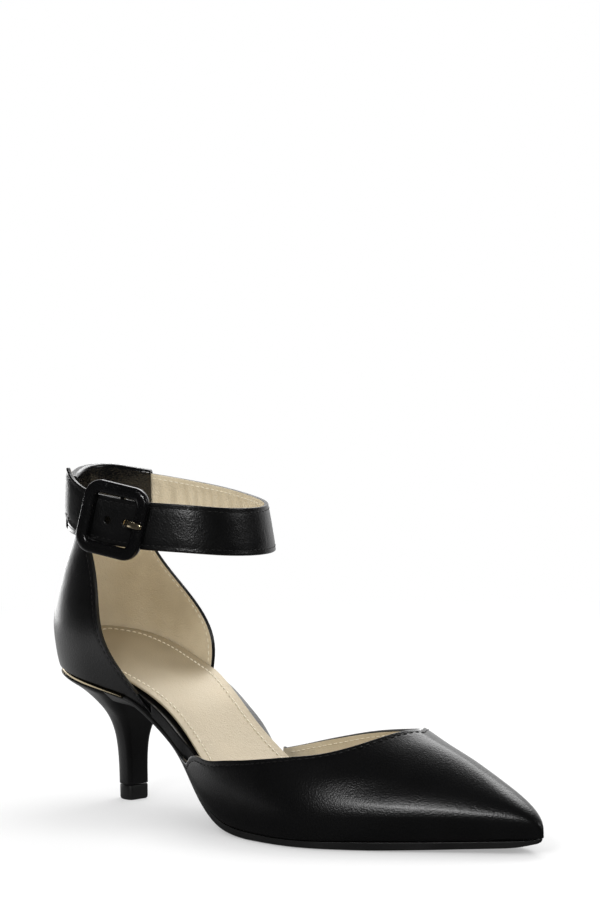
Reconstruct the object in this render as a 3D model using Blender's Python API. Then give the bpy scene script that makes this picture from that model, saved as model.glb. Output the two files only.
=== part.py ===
"""Ankle strap pump, right shoe, standing on its heel and sole. Blender 4.5, metres, +Z up.

Sizes in the tables are millimetres along the shoe: x from the back of the heel to the toe,
y to the inner side of the foot (the left), z up from the floor. The finished model is moved so
that its origin lies on the floor under the middle of the whole shoe.
"""

import math

import bmesh
import bpy
import numpy as np

MM = 0.001
MIDDLE_X = 126.3             # from the back of the heel to the origin
MIDDLE_Y = -2.57             # from the heel's own axis to the origin
FIT_GAP = 0.3                # between pieces that meet
UPPER_WALL = 1.6             # leather and lining together
COUNTER_WALL = 1.9           # stiffened heel cup
SOCK_THICK = 1.2
TRIM_THICK = 1.3
SOLE_EDGE = 1.5              # the outsole's edge along the waist
BED_GAP = 0.5                # from the foot bed's edges to the walls
SOCK_BACK, SOCK_FRONT = 4.2, 247.2
BOARD_BACK, BOARD_FRONT = 6.3, 247.0
SOLE_BACK = 46.8
CUP_END_OUT = 75.2           # where the foot bed leaves the heel cup on the outer side
CUP_END_IN = 60.6            # and on the inner side
TRIM_FRONT = 59.0
TRIM_TIP = 0.5
TRIM_PROUD = 0.8
STRAP_WIDTH = 18.0
STRAP_THICK = 1.8
LOOP_WALL = 1.1

# The foot bed, a row for each station along x: the padded sock's two edges and its height, the
# covered board's two edges and its underside, and the outsole's two edges and its underside.
BED_COLUMNS = ("x", "sockOut", "sockIn", "sockTop", "boardOut", "boardIn", "boardUnder",
               "soleOut", "soleIn", "soleUnder")
BED = (
    (4.2, -1.6, 1.6, 68.2, -1.2, 1.2, 56.0, -1.0, 1.0, 51.0),
    (6.0, -8.0, 8.0, 68.0, -7.0, 7.0, 55.7, -6.6, 6.6, 50.6),
    (10.0, -14.4, 14.4, 67.4, -12.8, 12.8, 55.0, -13.0, 13.0, 49.9),
    (18.0, -20.3, 20.3, 65.9, -18.4, 18.4, 53.6, -19.0, 19.0, 48.4),
    (28.0, -23.4, 23.4, 63.4, -21.4, 21.4, 51.9, -22.4, 22.4, 46.6),
    (40.0, -24.4, 24.5, 59.7, -22.6, 22.7, 49.8, -24.0, 24.0, 44.0),
    (52.0, -23.9, 24.2, 55.6, -23.2, 23.4, 47.7, -24.4, 24.5, 42.2),
    (62.0, -22.6, 22.9, 52.0, -23.9, 24.1, 45.6, -24.4, 24.6, 40.9),
    (72.0, -21.0, 20.7, 47.4, -23.9, 23.9, 41.0, -24.3, 24.3, 36.6),
    (82.0, -20.2, 18.5, 41.6, -23.7, 22.6, 34.7, -24.1, 23.0, 30.2),
    (92.0, -21.0, 16.9, 34.7, -24.2, 21.4, 27.4, -24.8, 21.8, 22.8),
    (102.0, -23.4, 16.4, 27.8, -24.6, 18.2, 19.8, -27.8, 20.8, 15.2),
    (112.0, -26.6, 16.9, 21.2, -27.6, 17.8, 12.9, -31.3, 21.6, 8.6),
    (124.0, -30.9, 20.2, 14.2, -31.7, 21.0, 7.0, -35.2, 24.8, 3.2),
    (136.0, -36.0, 27.0, 10.0, -34.9, 25.8, 4.3, -37.8, 29.2, 0.6),
    (150.0, -39.0, 32.5, 7.8, -36.6, 30.6, 3.5, -39.3, 33.8, -0.1),
    (164.0, -39.5, 36.5, 7.2, -36.6, 33.4, 3.3, -39.4, 36.4, -0.2),
    (178.0, -37.0, 37.0, 7.2, -33.8, 33.6, 3.4, -36.2, 36.8, -0.2),
    (192.0, -30.0, 35.0, 7.4, -26.6, 31.2, 3.7, -28.8, 34.3, -0.1),
    (206.0, -21.0, 31.0, 7.6, -17.6, 27.4, 4.0, -19.8, 30.2, 0.3),
    (220.0, -11.0, 26.0, 8.0, -7.9, 22.7, 4.4, -10.3, 25.2, 0.9),
    (234.0, -1.5, 20.5, 8.4, 1.2, 17.4, 4.9, -0.8, 19.7, 1.7),
    (244.0, 5.0, 16.0, 8.8, 6.8, 14.0, 5.4, 5.2, 15.5, 2.5),
    (248.2, 8.0, 13.6, 9.0, 9.0, 12.3, 5.8, 7.9, 13.2, 3.0),
    (251.3, 10.5, 10.9, 9.0, 10.4, 11.0, 6.3, 10.1, 11.1, 3.6),
)

# The front of the last, a row for each section: the feather edges, how far the side bulges and
# how high over the feather edge, the ridge, and how square the section is above the bulge.
LAST_COLUMNS = ("x", "edgeOut", "sideOut", "bulgeOut", "ridgeY", "ridgeZ", "sideIn", "bulgeIn", "edgeIn",
                "square")
LAST = (
    (92.0, -24.4, -26.4, 5.0, -1.5, 78.0, 23.2, 4.0, 21.4, 2.1),
    (103.0, -28.0, -31.2, 6.6, -1.5, 73.5, 23.8, 5.0, 20.6, 2.1),
    (115.0, -32.0, -35.8, 8.4, -1.3, 68.5, 25.6, 6.4, 21.8, 2.1),
    (128.0, -36.0, -39.3, 9.0, -0.8, 63.5, 29.4, 8.0, 25.6, 2.05),
    (142.0, -38.2, -41.1, 9.0, 0.0, 58.4, 34.0, 9.0, 30.6, 2.0),
    (157.0, -39.3, -42.0, 9.0, 1.0, 53.4, 37.8, 9.0, 34.9, 1.9),
    (171.0, -38.3, -41.0, 9.0, 2.2, 49.0, 39.2, 9.0, 36.6, 1.78),
    (184.0, -33.2, -36.2, 9.0, 3.6, 44.9, 38.2, 9.0, 35.8, 1.66),
    (197.0, -25.2, -28.4, 9.0, 5.2, 39.3, 35.0, 9.0, 32.9, 1.6),
    (210.0, -16.8, -19.8, 8.8, 6.8, 34.1, 30.6, 8.8, 28.7, 1.6),
    (222.0, -8.6, -11.4, 8.4, 8.2, 28.4, 26.0, 8.4, 24.3, 1.66),
    (233.0, -1.2, -3.8, 7.8, 9.4, 23.0, 21.7, 7.8, 20.1, 1.74),
    (241.6, 4.6, 2.4, 6.8, 10.0, 18.8, 17.4, 6.8, 16.4, 1.82),
    (247.0, 7.9, 6.4, 5.8, 10.4, 15.7, 14.0, 5.8, 13.4, 1.9),
    (249.8, 9.6, 9.0, 4.6, 10.6, 12.8, 12.2, 4.6, 11.9, 1.95),
    (250.8, 10.5, 10.45, 3.4, 10.6, 10.6, 10.75, 3.4, 10.7, 2.0),
)

# The top line of the front upper, from the waist to the point of the V: on each side the x and
# the share of the section's girth, counted from the outer feather edge.
TOP_LINE_COLUMNS = ("outerX", "outerShare", "innerX", "innerShare")
TOP_LINE = (
    (96.1, 0.062, 101.6, 0.864),
    (108.0, 0.157, 112.0, 0.829),
    (120.0, 0.187, 124.0, 0.794),
    (132.0, 0.211, 136.0, 0.766),
    (144.0, 0.232, 148.0, 0.739),
    (156.0, 0.256, 159.0, 0.712),
    (167.0, 0.282, 169.5, 0.682),
    (176.5, 0.310, 178.0, 0.650),
    (184.0, 0.352, 184.5, 0.616),
    (188.8, 0.408, 189.2, 0.575),
    (191.6, 0.472, 191.7, 0.548),
    (192.8, 0.530, 192.8, 0.530),
)
FRONT_START_OUT = 96.5       # where the front upper begins on the outer side
FRONT_START_IN = 102.0       # and on the inner side

# The heel cup, a row for each height: the back of the heel, the half width, the depth of the
# round back, and where the cup's front edge lies on the outer and the inner side.
CUP_COLUMNS = ("z", "backX", "half", "depth", "frontOut", "frontIn")
CUP = (
    (44.0, 9.4, 23.6, 33.0, 70.5, 58.5),
    (50.0, 6.0, 25.0, 35.0, 64.9, 57.9),
    (56.0, 3.6, 26.4, 37.0, 59.6, 57.6),
    (64.0, 2.0, 27.4, 38.5, 53.1, 56.3),
    (72.0, 1.3, 27.2, 37.5, 48.5, 52.5),
    (80.0, 2.0, 25.6, 35.0, 45.2, 46.8),
    (88.0, 3.9, 23.2, 31.0, 41.7, 40.0),
    (96.0, 6.8, 20.8, 27.0, 37.5, 33.4),
    (104.0, 10.2, 18.6, 23.0, 32.4, 29.0),
    (114.0, 13.2, 17.2, 20.5, 27.4, 26.4),
)
CUP_TOP_BACK = 113.2         # height of the cup's top at the back
CUP_TOP_SIDE = 110.6         # and where its front edges begin
CUP_SQUARENESS = 2.25
SIDE_SHARE = 0.14            # share of a front section's girth between feather edge and bulge
TUCK_ANGLE = math.radians(72.0)

# The heel, a row for each ring: height in front and behind, back, breast and half width.
HEEL = (
    # front, behind, back, breast, half
    (6.3, 6.3, 29.4, 39.7, 5.2),
    (14.0, 14.0, 29.3, 39.7, 5.3),
    (22.0, 22.0, 28.9, 39.9, 5.9),
    (28.5, 28.8, 28.0, 40.7, 7.4),
    (33.4, 35.4, 26.0, 42.0, 10.2),
    (37.0, 41.2, 22.2, 43.4, 13.8),
    (40.6, 45.8, 17.0, 44.8, 17.4),
    (43.4, 49.4, 11.6, 45.9, 20.8),
    (45.3, 52.3, 6.6, 46.3, 23.8),
    (46.8, 53.9, 5.0, 46.4, 25.0),
)
BREAST_ROUND = 0.35          # share of the half width that the breast's corners take
TIP_HEIGHT = 6.0

# The strap's top edge, in order from the buckle's bar round the back of the
# heel, the inner side and the front, through the buckle again to the free end.
STRAP = (
    # x, y, top edge's height
    (68.1, -26.9, 124.6),
    (61.0, -30.2, 125.9),
    (54.5, -32.4, 126.9),
    (48.0, -33.0, 127.9),
    (39.5, -30.6, 129.1),
    (30.0, -24.6, 130.2),
    (21.5, -15.6, 131.9),
    (16.6, -7.2, 133.8),
    (15.3, 0.0, 134.4),
    (16.8, 7.6, 134.2),
    (21.6, 15.6, 132.6),
    (30.0, 22.8, 130.6),
    (42.0, 29.2, 128.3),
    (58.0, 33.4, 125.6),
    (75.0, 32.6, 122.9),
    (89.6, 26.4, 121.1),
    (98.8, 16.0, 120.3),
    (102.4, 3.0, 120.5),
    (100.8, -8.0, 121.3),
    (95.0, -16.4, 122.4),
    (87.0, -22.4, 123.2),
    (76.9, -27.7, 124.0),
    (66.2, -32.6, 125.6),
    (56.1, -37.3, 128.6),
    (49.6, -38.6, 132.4),
    (43.4, -36.6, 137.0),
)
STRAP_MIDDLE_X = 59.4
STRAP_HALF_LENGTH = 45.9
STRAP_FLARE = 0.085          # how far the lower edge stands out, more at the front than behind
LOOP_START = 47.5            # the part of the strap's length that the loop covers
LOOP_END = 96.5
LOOP_HIGH = 21.2
LOOP_DEEP = 4.8
HOLE_SIZE = 2.8
PRONG_HOLE = 240.9           # places of the two holes along the strap
SPARE_HOLE = 248.9

BUCKLE_WIDTH = 28.0
BUCKLE_HEIGHT = 29.0
BUCKLE_RIM = 5.0
BUCKLE_THICK = 3.8
BUCKLE_ROUND = 6.0
BUCKLE_X = 69.0
BUCKLE_Y = -35.8
BUCKLE_TURN = 25.0           # degrees that its outer face turns towards the toe
BAR_DEPTH = 5.4              # from the buckle's middle plane in to the middle of the bar
BAR_THICK = 2.0
BUCKLE_Z = 117.0
BUCKLE_FALL = 0.22           # how much its width falls for each millimetre towards the toe
BUCKLE_LEAN = 0.1            # and how much its face looks upwards
PRONG_WIDE = 1.9
PRONG_THICK = 1.0
# The prong's line in the buckle's own plane: towards the toe, and in behind the middle plane.
PRONG = ((1.4, 5.6), (3.0, 5.75), (4.2, 5.3), (4.7, 4.3), (4.75, 3.0),
         (5.2, 1.2), (6.6, -0.9), (8.3, -2.3), (10.4, -2.75), (14.0, -2.75))


def column(columns, rows, name):
    """One named column of a table, as an array."""
    return np.array([row[columns.index(name)] for row in rows], float)


def spline(knots, values, at):
    """A natural cubic spline through the knots, straight beyond both ends."""
    knots = np.asarray(knots, float)
    values = np.asarray(values, float)
    at = np.asarray(at, float)
    count = len(knots)
    step = np.diff(knots)
    system = np.eye(count)
    right = np.zeros(count)
    for i in range(1, count - 1):
        system[i, i - 1] = step[i - 1]
        system[i, i] = 2.0 * (step[i - 1] + step[i])
        system[i, i + 1] = step[i]
        right[i] = 6.0 * ((values[i + 1] - values[i]) / step[i] - (values[i] - values[i - 1]) / step[i - 1])
    bend = np.linalg.solve(system, right)
    inside = np.clip(at, knots[0], knots[-1])
    cell = np.clip(np.searchsorted(knots, inside, side="right") - 1, 0, count - 2)
    low = inside - knots[cell]
    high = knots[cell + 1] - inside
    width = step[cell]
    curve = (bend[cell] * high ** 3 + bend[cell + 1] * low ** 3) / (6.0 * width)
    curve += (values[cell] / width - bend[cell] * width / 6.0) * high
    curve += (values[cell + 1] / width - bend[cell + 1] * width / 6.0) * low
    first = (values[1] - values[0]) / step[0] - step[0] * bend[1] / 6.0
    last = (values[-1] - values[-2]) / step[-1] + step[-1] * bend[-2] / 6.0
    return curve + np.minimum(at - knots[0], 0.0) * first + np.maximum(at - knots[-1], 0.0) * last


def bed(name, x):
    """One measure of the foot bed at x."""
    return spline(column(BED_COLUMNS, BED, "x"), column(BED_COLUMNS, BED, name), x)


def power(value, exponent):
    """A signed power, which keeps the sides of a superellipse."""
    return math.copysign(abs(value) ** exponent, value)


def material(name, colour, roughness, metallic):
    """A plain Principled material."""
    made = bpy.data.materials.new(name)
    made.use_nodes = True
    shader = made.node_tree.nodes["Principled BSDF"]
    shader.inputs["Base Color"].default_value = (*colour, 1.0)
    shader.inputs["Roughness"].default_value = roughness
    shader.inputs["Metallic"].default_value = metallic
    made.diffuse_color = (*colour, 1.0)
    return made


def solid(name, vertices, faces, finish, sharp=40.0):
    """An object from points in millimetres, with its faces turned outwards."""
    mesh = bpy.data.meshes.new(name)
    shift = np.array([MIDDLE_X, MIDDLE_Y, 0.0])
    points = (np.asarray(vertices, float) - shift) * MM
    mesh.from_pydata([tuple(point) for point in points], [], faces)
    work = bmesh.new()
    work.from_mesh(mesh)
    bmesh.ops.remove_doubles(work, verts=work.verts, dist=0.000002)
    bmesh.ops.recalc_face_normals(work, faces=work.faces)
    bmesh.ops.triangulate(work, faces=work.faces)
    work.to_mesh(mesh)
    work.free()
    mesh.shade_smooth()
    mesh.set_sharp_from_angle(angle=math.radians(sharp))
    mesh.materials.append(finish)
    made = bpy.data.objects.new(name, mesh)
    bpy.context.collection.objects.link(made)
    return made


def wall(name, outer, inner, finish, holes=()):
    """A closed wall between two grids of points. A hole is a cell with a round opening."""
    rows, cols = len(outer), len(outer[0])
    vertices = [point for row in outer for point in row]
    vertices += [point for row in inner for point in row]
    half = rows * cols

    def at(i, j, side):
        return side * half + i * cols + j

    faces = []
    for i in range(rows - 1):
        for j in range(cols - 1):
            if (i, j) in holes:
                corners = ((i, j), (i + 1, j), (i + 1, j + 1), (i, j + 1))
                pierce(vertices, faces, [[at(a, b, side) for a, b in corners] for side in (0, 1)])
                continue
            faces.append((at(i, j, 0), at(i + 1, j, 0), at(i + 1, j + 1, 0), at(i, j + 1, 0)))
            faces.append((at(i, j, 1), at(i, j + 1, 1), at(i + 1, j + 1, 1), at(i + 1, j, 1)))
    for i in range(rows - 1):
        faces.append((at(i, 0, 0), at(i, 0, 1), at(i + 1, 0, 1), at(i + 1, 0, 0)))
        faces.append((at(i, cols - 1, 0), at(i + 1, cols - 1, 0), at(i + 1, cols - 1, 1), at(i, cols - 1, 1)))
    for j in range(cols - 1):
        faces.append((at(0, j, 0), at(0, j + 1, 0), at(0, j + 1, 1), at(0, j, 1)))
        faces.append((at(rows - 1, j, 0), at(rows - 1, j, 1), at(rows - 1, j + 1, 1), at(rows - 1, j + 1, 0)))
    return solid(name, vertices, faces, finish)


def pierce(vertices, faces, cells):
    """Cut a round opening through a cell, given its corners on both sides of the wall."""
    corners = 12
    starts = []
    for cell in cells:
        points = [np.array(vertices[k], float) for k in cell]
        middle = sum(points) / 4.0
        along = (points[1] + points[2] - points[0] - points[3]) / 2.0
        across = (points[2] + points[3] - points[0] - points[1]) / 2.0
        starts.append(len(vertices))
        for k in range(corners):
            angle = 2.0 * math.pi * (k + 0.5) / corners - math.pi * 0.75
            reach = HOLE_SIZE / 2.0
            vertices.append(tuple(middle + reach * (math.cos(angle) * along / np.linalg.norm(along)
                                                    + math.sin(angle) * across / np.linalg.norm(across))))
        start = starts[-1]
        part = corners // 4
        for side in range(4):
            arc = [start + (side * part + k - 1) % corners for k in range(part + 1)]
            faces.append((cell[side], cell[(side + 1) % 4], *arc[::-1][:1]))
            faces.append((cell[side], *arc[::-1]))
    for k in range(corners):
        after = (k + 1) % corners
        faces.append((starts[0] + k, starts[0] + after, starts[1] + after, starts[1] + k))


def rings(name, loops, finish, sharp=40.0):
    """A closed solid through rings of points, with a flat cap on the first and last."""
    count = len(loops[0])
    vertices = [point for loop in loops for point in loop]
    faces = [tuple(range(count))[::-1], tuple(range((len(loops) - 1) * count, len(loops) * count))]
    for k in range(len(loops) - 1):
        for i in range(count):
            j = (i + 1) % count
            faces.append((k * count + i, k * count + j, (k + 1) * count + j, (k + 1) * count + i))
    return solid(name, vertices, faces, finish, sharp)


def plate(name, stations, outline, top, under, shares, finish):
    """A plate over the stations. The outline gives the edges of the upper face and then those of
    the lower face at x; top and under give the heights at x and a share of the half width."""
    upper = []
    lower = []
    for x in stations:
        edges = outline(x)
        for grid, a, b, height in ((upper, edges[0], edges[1], top), (lower, edges[2], edges[3], under)):
            grid.append([(x, (a + b) / 2.0 + (b - a) / 2.0 * s, height(x, s)) for s in shares])
    return wall(name, upper, lower, finish)


def lastRow(p):
    """All measures of the front of the last at the row number p."""
    numbers = np.arange(len(LAST))
    row = {name: float(spline(numbers, column(LAST_COLUMNS, LAST, name), p)) for name in LAST_COLUMNS}
    row["foot"] = float(bed("boardUnder", row["x"]))
    return row


def rowOfX(x):
    """The row number of the last at x."""
    dense = np.linspace(0.0, len(LAST) - 1.0, 400)
    xs = spline(np.arange(len(LAST)), column(LAST_COLUMNS, LAST, "x"), dense)
    return float(np.interp(x, xs, dense))


def sideOf(row, outer, inset):
    """The y of one side of a section at its feather edge and at its bulge, and the bulge's height."""
    ridge = row["ridgeY"]
    edge = row["edgeOut"] if outer else row["edgeIn"]
    side = row["sideOut"] if outer else row["sideIn"]
    turn = 1.0 if outer else -1.0
    room = max(abs(ridge - side), 0.02)
    least = 0.25 * room if inset > 0.0 else 0.0
    widest = ridge - turn * max(room - inset, least)
    foot = ridge - turn * max(abs(ridge - edge) - inset, 0.8 * least)
    return foot, widest, row["bulgeOut"] if outer else row["bulgeIn"]


def tuckedY(row, z, outer, inset):
    """The y of one side of a section at a height below its bulge."""
    foot, widest, bulge = sideOf(row, outer, inset)
    share = min(max((row["foot"] + bulge - z) / bulge, 0.0), 1.0)
    p = math.asin(share * math.sin(TUCK_ANGLE))
    return widest + (foot - widest) * (1.0 - math.cos(p)) / (1.0 - math.cos(TUCK_ANGLE))


def sectionPoint(row, u, inset):
    """The point of a section at the share u of its girth, from the outer to the inner feather edge."""
    outer = u <= 0.5
    v = u if outer else 1.0 - u
    foot, widest, bulge = sideOf(row, outer, inset)
    waist = row["foot"] + bulge
    if v < SIDE_SHARE:
        z = waist - bulge * math.sin((1.0 - v / SIDE_SHARE) * TUCK_ANGLE) / math.sin(TUCK_ANGLE)
        y = tuckedY(row, z, outer, inset)
    else:
        p = (v - SIDE_SHARE) / (0.5 - SIDE_SHARE) * math.pi / 2.0
        y = row["ridgeY"] - (row["ridgeY"] - widest) * power(math.cos(p), 2.0 / row["square"])
        z = waist + (row["ridgeZ"] - inset - waist) * power(math.sin(p), 2.0 / row["square"])
    return row["x"], y, z


def frontUpper(finish):
    """The front upper: one hollow wall round the toe, open at the throat and underneath."""
    around = 60
    up = 9
    tip = len(LAST) - 1.0
    numbers = np.arange(len(TOP_LINE))
    outer = []
    inner = []
    for i in range(around + 1):
        onOuter = i <= around / 2
        side = "outer" if onOuter else "inner"
        along = 1.0 - abs(2.0 * i / around - 1.0)
        station = along * (len(TOP_LINE) - 1.0)
        topX, topShare = [float(spline(numbers, column(TOP_LINE_COLUMNS, TOP_LINE, side + name), station))
                          for name in ("X", "Share")]
        footShare = 0.0 if onOuter else 1.0
        topRow = rowOfX(topX)
        startRow = rowOfX(FRONT_START_OUT if onOuter else FRONT_START_IN)
        footRow = startRow + (tip - startRow) * (1.0 - (1.0 - along) ** 1.15)
        outerRow = []
        innerRow = []
        for j in range(up + 1):
            t = j / up
            rise = 1.0 - (1.0 - t) ** (1.0 + 1.4 * along ** 3)
            run = t ** (1.0 + 0.5 * along ** 3)
            u = footShare + (topShare - footShare) * rise
            row = lastRow(footRow + (topRow - footRow) * run)
            outerRow.append(sectionPoint(row, u, 0.0))
            back = UPPER_WALL * min(max((row["x"] - 205.0) / 45.0, 0.0), 1.0)
            innerRow.append(sectionPoint(lastRow(rowOfX(row["x"] - back)), u, UPPER_WALL))
        outer.append(outerRow)
        inner.append(innerRow)
    return wall("vamp", outer, inner, finish)


def cup(name, z):
    """One measure of the heel cup at the height z."""
    return float(spline(column(CUP_COLUMNS, CUP, "z"), column(CUP_COLUMNS, CUP, name), z))


def cupPoint(z, share, inset):
    """A point of the heel cup at a height: share runs from -1, the outer front edge, to 1."""
    frontX = cup("frontOut", z) if share < 0.0 else cup("frontIn", z)
    back, half, depth = cup("backX", z), cup("half", z), cup("depth", z)
    power2 = 2.0 / CUP_SQUARENESS
    reach = (frontX - back) / depth
    limit = math.acos(power(1.0 - reach, CUP_SQUARENESS / 2.0))
    angle = abs(share) * limit
    bend = power(math.cos(angle), power2)
    x = back + depth * (1.0 - bend) + inset * max(bend, 0.0)
    y = (half - inset) * power(math.sin(min(angle, math.pi / 2.0)), power2)
    return x, math.copysign(y, share), z


def cupHalf(x, z, inset):
    """Half width of the cup at x and a height."""
    back, half, depth = cup("backX", z) + inset, cup("half", z) - inset, cup("depth", z) - inset
    reach = min(max((x - back) / depth, 0.0), 1.0)
    angle = math.acos(power(1.0 - reach, CUP_SQUARENESS / 2.0))
    return half * power(math.sin(angle), 2.0 / CUP_SQUARENESS)


def heelCup(finish):
    """The heel cup: one hollow wall from the outer front edge round the back to the inner one."""
    around = 36
    up = 11
    outer = []
    inner = []
    for i in range(around + 1):
        share = -1.0 + 2.0 * i / around
        foot = 50.0
        for _ in range(12):
            foot = float(bed("boardUnder", cupPoint(foot, share, 0.0)[0])) + 0.15
        top = CUP_TOP_BACK + (CUP_TOP_SIDE - CUP_TOP_BACK) * share ** 2
        heights = [foot + (top - foot) * j / up for j in range(up + 1)]
        outer.append([cupPoint(z, share, 0.0) for z in heights])
        inner.append([cupPoint(z, share, COUNTER_WALL) for z in heights])
    return wall("counter", outer, inner, finish)


def roomInside(x, z):
    """The free space between the walls at x and a height, as two values of y."""
    half = cupHalf(x, z, COUNTER_WALL + BED_GAP)
    row = lastRow(rowOfX(x))
    out, inside = -99.0, 99.0
    if x < CUP_END_OUT:
        out = -half
    elif x > FRONT_START_OUT - 1.5:
        out = tuckedY(row, z, True, UPPER_WALL + BED_GAP)
    if x < CUP_END_IN:
        inside = half
    elif x > FRONT_START_IN - 1.5:
        inside = tuckedY(row, z, False, UPPER_WALL + BED_GAP)
    return out, inside


def fitted(x, z, out, inside):
    """Two edges of the foot bed, kept clear of the walls."""
    low, high = roomInside(x, z)
    return max(out, low), min(inside, high)


def bedStations(first, last):
    """Stations of the foot bed, closer together at both ends and where the cup ends."""
    marks = [first + 0.0, first + 0.5, first + 1.6, first + 3.6, first + 7.0, first + 12.0]
    marks += [first + 19.0 + 8.2 * k for k in range(5)]
    marks += [CUP_END_IN - 0.2, CUP_END_IN + 0.2, CUP_END_OUT - 6.4, CUP_END_OUT - 0.2, CUP_END_OUT + 0.2]
    marks += [FRONT_START_OUT - 1.4, FRONT_START_IN - 1.4]
    marks += [CUP_END_OUT + 5.6 + 6.9 * k for k in range(23) if CUP_END_OUT + 5.6 + 6.9 * k < last - 14.0]
    marks += [last - 12.5, last - 7.5, last - 4.0, last - 2.0, last - 0.8, last]
    return sorted(marks)


def dish(x, s):
    """How far the padded sock sinks in its middle."""
    deep = 2.0 * min(max((70.0 - x) / 30.0, 0.0), 1.0) + 0.9 * min(max((150.0 - x) / 60.0, 0.0), 1.0)
    return 0.5 * deep * (1.0 - s * s) - 0.5 * abs(s) ** 8


def sock(finish):
    """The padded sock that lines the foot bed from heel to toe."""
    def outline(x):
        z = float(bed("sockTop", x))
        edges = fitted(x, z - SOCK_THICK, float(bed("sockOut", x)), float(bed("sockIn", x)))
        return (*edges, *edges)

    def top(x, s):
        return float(bed("sockTop", x)) - dish(x, s)

    def under(x, s):
        return float(bed("sockTop", x)) - SOCK_THICK - dish(x, s * 0.98)

    shares = (-1.0, -0.93, -0.66, -0.34, 0.0, 0.34, 0.66, 0.93, 1.0)
    return plate("sock", bedStations(SOCK_BACK, SOCK_FRONT), outline, top, under, shares, finish)


def board(finish):
    """The covered board under the sock, whose edge shows along the open waist."""
    def upperZ(x):
        return float(bed("sockTop", x)) - SOCK_THICK - FIT_GAP

    def outline(x):
        out, inside = float(bed("boardOut", x)), float(bed("boardIn", x))
        wideOut = min(out + 0.4, float(bed("sockOut", x)) + 0.3)
        wideIn = max(inside - 0.4, float(bed("sockIn", x)) - 0.3)
        low = fitted(x, float(bed("boardUnder", x)), out, inside)
        high = fitted(x, upperZ(x), wideOut, wideIn)
        return (*high, *low)

    def top(x, s):
        return upperZ(x) - dish(x, s * 0.9) - 0.4

    def under(x, s):
        return float(bed("boardUnder", x))

    shares = (-1.0, -0.8, -0.4, 0.0, 0.4, 0.8, 1.0)
    return plate("insole_board", bedStations(BOARD_BACK, BOARD_FRONT), outline, top, under, shares, finish)


def trimThickness(x):
    """Thickness of the metal line, which thins out in front of the heel."""
    return TRIM_THICK - (TRIM_THICK - TRIM_TIP) * min(max((x - 36.0) / (TRIM_FRONT - 36.0), 0.0), 1.0)


def outsole(finish):
    """The outsole, from the heel's breast to the toe, bevelled along the waist."""
    def outline(x):
        edges = (float(bed("soleOut", x)), float(bed("soleIn", x)))
        return (*edges, *edges)

    def top(x, s):
        metal = trimThickness(x) + FIT_GAP if x < TRIM_FRONT + 0.3 else 0.0
        return float(bed("boardUnder", x)) - FIT_GAP - metal

    def under(x, s):
        flat = max(float(bed("soleUnder", x)), 0.0)
        waist = min(max((128.0 - x) / 40.0, 0.0), 1.0)
        rim = (float(bed("boardUnder", x)) - FIT_GAP - SOLE_EDGE - flat) * waist + 0.35 * (1.0 - waist)
        return flat + max(rim, 0.0) * min(max((abs(s) - 0.8) / 0.2, 0.0), 1.0)

    stations = [SOLE_BACK, SOLE_BACK + 5.0, TRIM_FRONT + 0.2, TRIM_FRONT + 0.5]
    stations += [TRIM_FRONT + 4.0 + 5.6 * k for k in range(31)]
    stations += [237.5, 241.5, 245.0, 247.8, 249.7, 250.8, 251.3]
    shares = (-1.0, -0.8, -0.4, 0.0, 0.4, 0.8, 1.0)
    return plate("outsole", stations, outline, top, under, shares, finish)


def heelRing(row, turn, shrink=0.0):
    """One ring of the heel: a round back and a flat breast with rounded corners."""
    front, behind, back, breast, half = row
    back, breast, half = back + shrink, breast - shrink, half - shrink
    deep = breast - back
    corner = BREAST_ROUND * half
    points = []
    for k in range(turn + 1):
        angle = math.pi * (k / turn - 0.5)
        x = back + (deep - corner) * (1.0 - power(math.cos(angle), 0.86))
        y = half * power(math.sin(angle), 0.86)
        points.append((x, y))
    for sign in (1.0, -1.0):
        bend = []
        for k in range(1, 5):
            angle = math.radians(90.0 * k / 4)
            x = breast - corner + corner * math.sin(angle)
            y = sign * (half - corner + corner * math.cos(angle))
            bend.append((x, y))
        points += bend if sign > 0.0 else bend[::-1]
    return [(x, y, behind + (front - behind) * (x - back) / deep) for x, y in points]


def heel(finish):
    """The covered heel block, from the top piece up to the trim."""
    return rings("heel", [heelRing(row, 24) for row in HEEL], finish, 50.0)


def topPiece(finish):
    """The hard tip that the heel stands on, with a flat face on the floor."""
    _, _, back, breast, half = HEEL[0]
    levels = ((0.0, 0.55), (0.5, 0.15), (TIP_HEIGHT - 0.4, 0.0), (TIP_HEIGHT, 0.2))
    loops = [heelRing((z, z, back, breast, half), 24, 0.1 + shrink) for z, shrink in levels]
    return rings("top_piece", loops, finish, 50.0)


def heelTrim(finish):
    """The thin metal line between the heel and the cup, a plate that thins towards the front."""
    back = HEEL[-1][2] - TRIM_PROUD

    def outline(x):
        reach = min((x - back) / 40.0, 1.0)
        half = (HEEL[-1][4] + TRIM_PROUD) * power(math.sin(math.acos(power(1.0 - reach, 1.12))), 0.9)
        half -= 0.5 * min(max((x - 30.0) / 20.0, 0.0), 1.0)
        return -half, half, -half, half

    def top(x, s):
        return float(bed("boardUnder", x)) - FIT_GAP

    def under(x, s):
        return top(x, s) - trimThickness(x)

    stations = [back + 0.04, back + 0.4, back + 1.3, back + 3.0, back + 5.5, back + 9.0, back + 14.0,
                back + 20.0, back + 27.0, back + 34.0, 46.0, 52.0, TRIM_FRONT]
    return plate("heel_trim", stations, outline, top, under, (-1.0, 0.0, 1.0), finish)


def strapLine():
    """The strap's top edge as a dense line of points, with the length along it."""
    knots = np.array(STRAP, float)
    chord = np.concatenate([[0.0], np.cumsum(np.linalg.norm(np.diff(knots, axis=0), axis=1))])
    dense = np.linspace(0.0, chord[-1], 1200)
    points = np.stack([spline(chord, knots[:, k], dense) for k in range(3)], 1)
    run = np.concatenate([[0.0], np.cumsum(np.linalg.norm(np.diff(points, axis=0), axis=1))])
    return points, run


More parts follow.
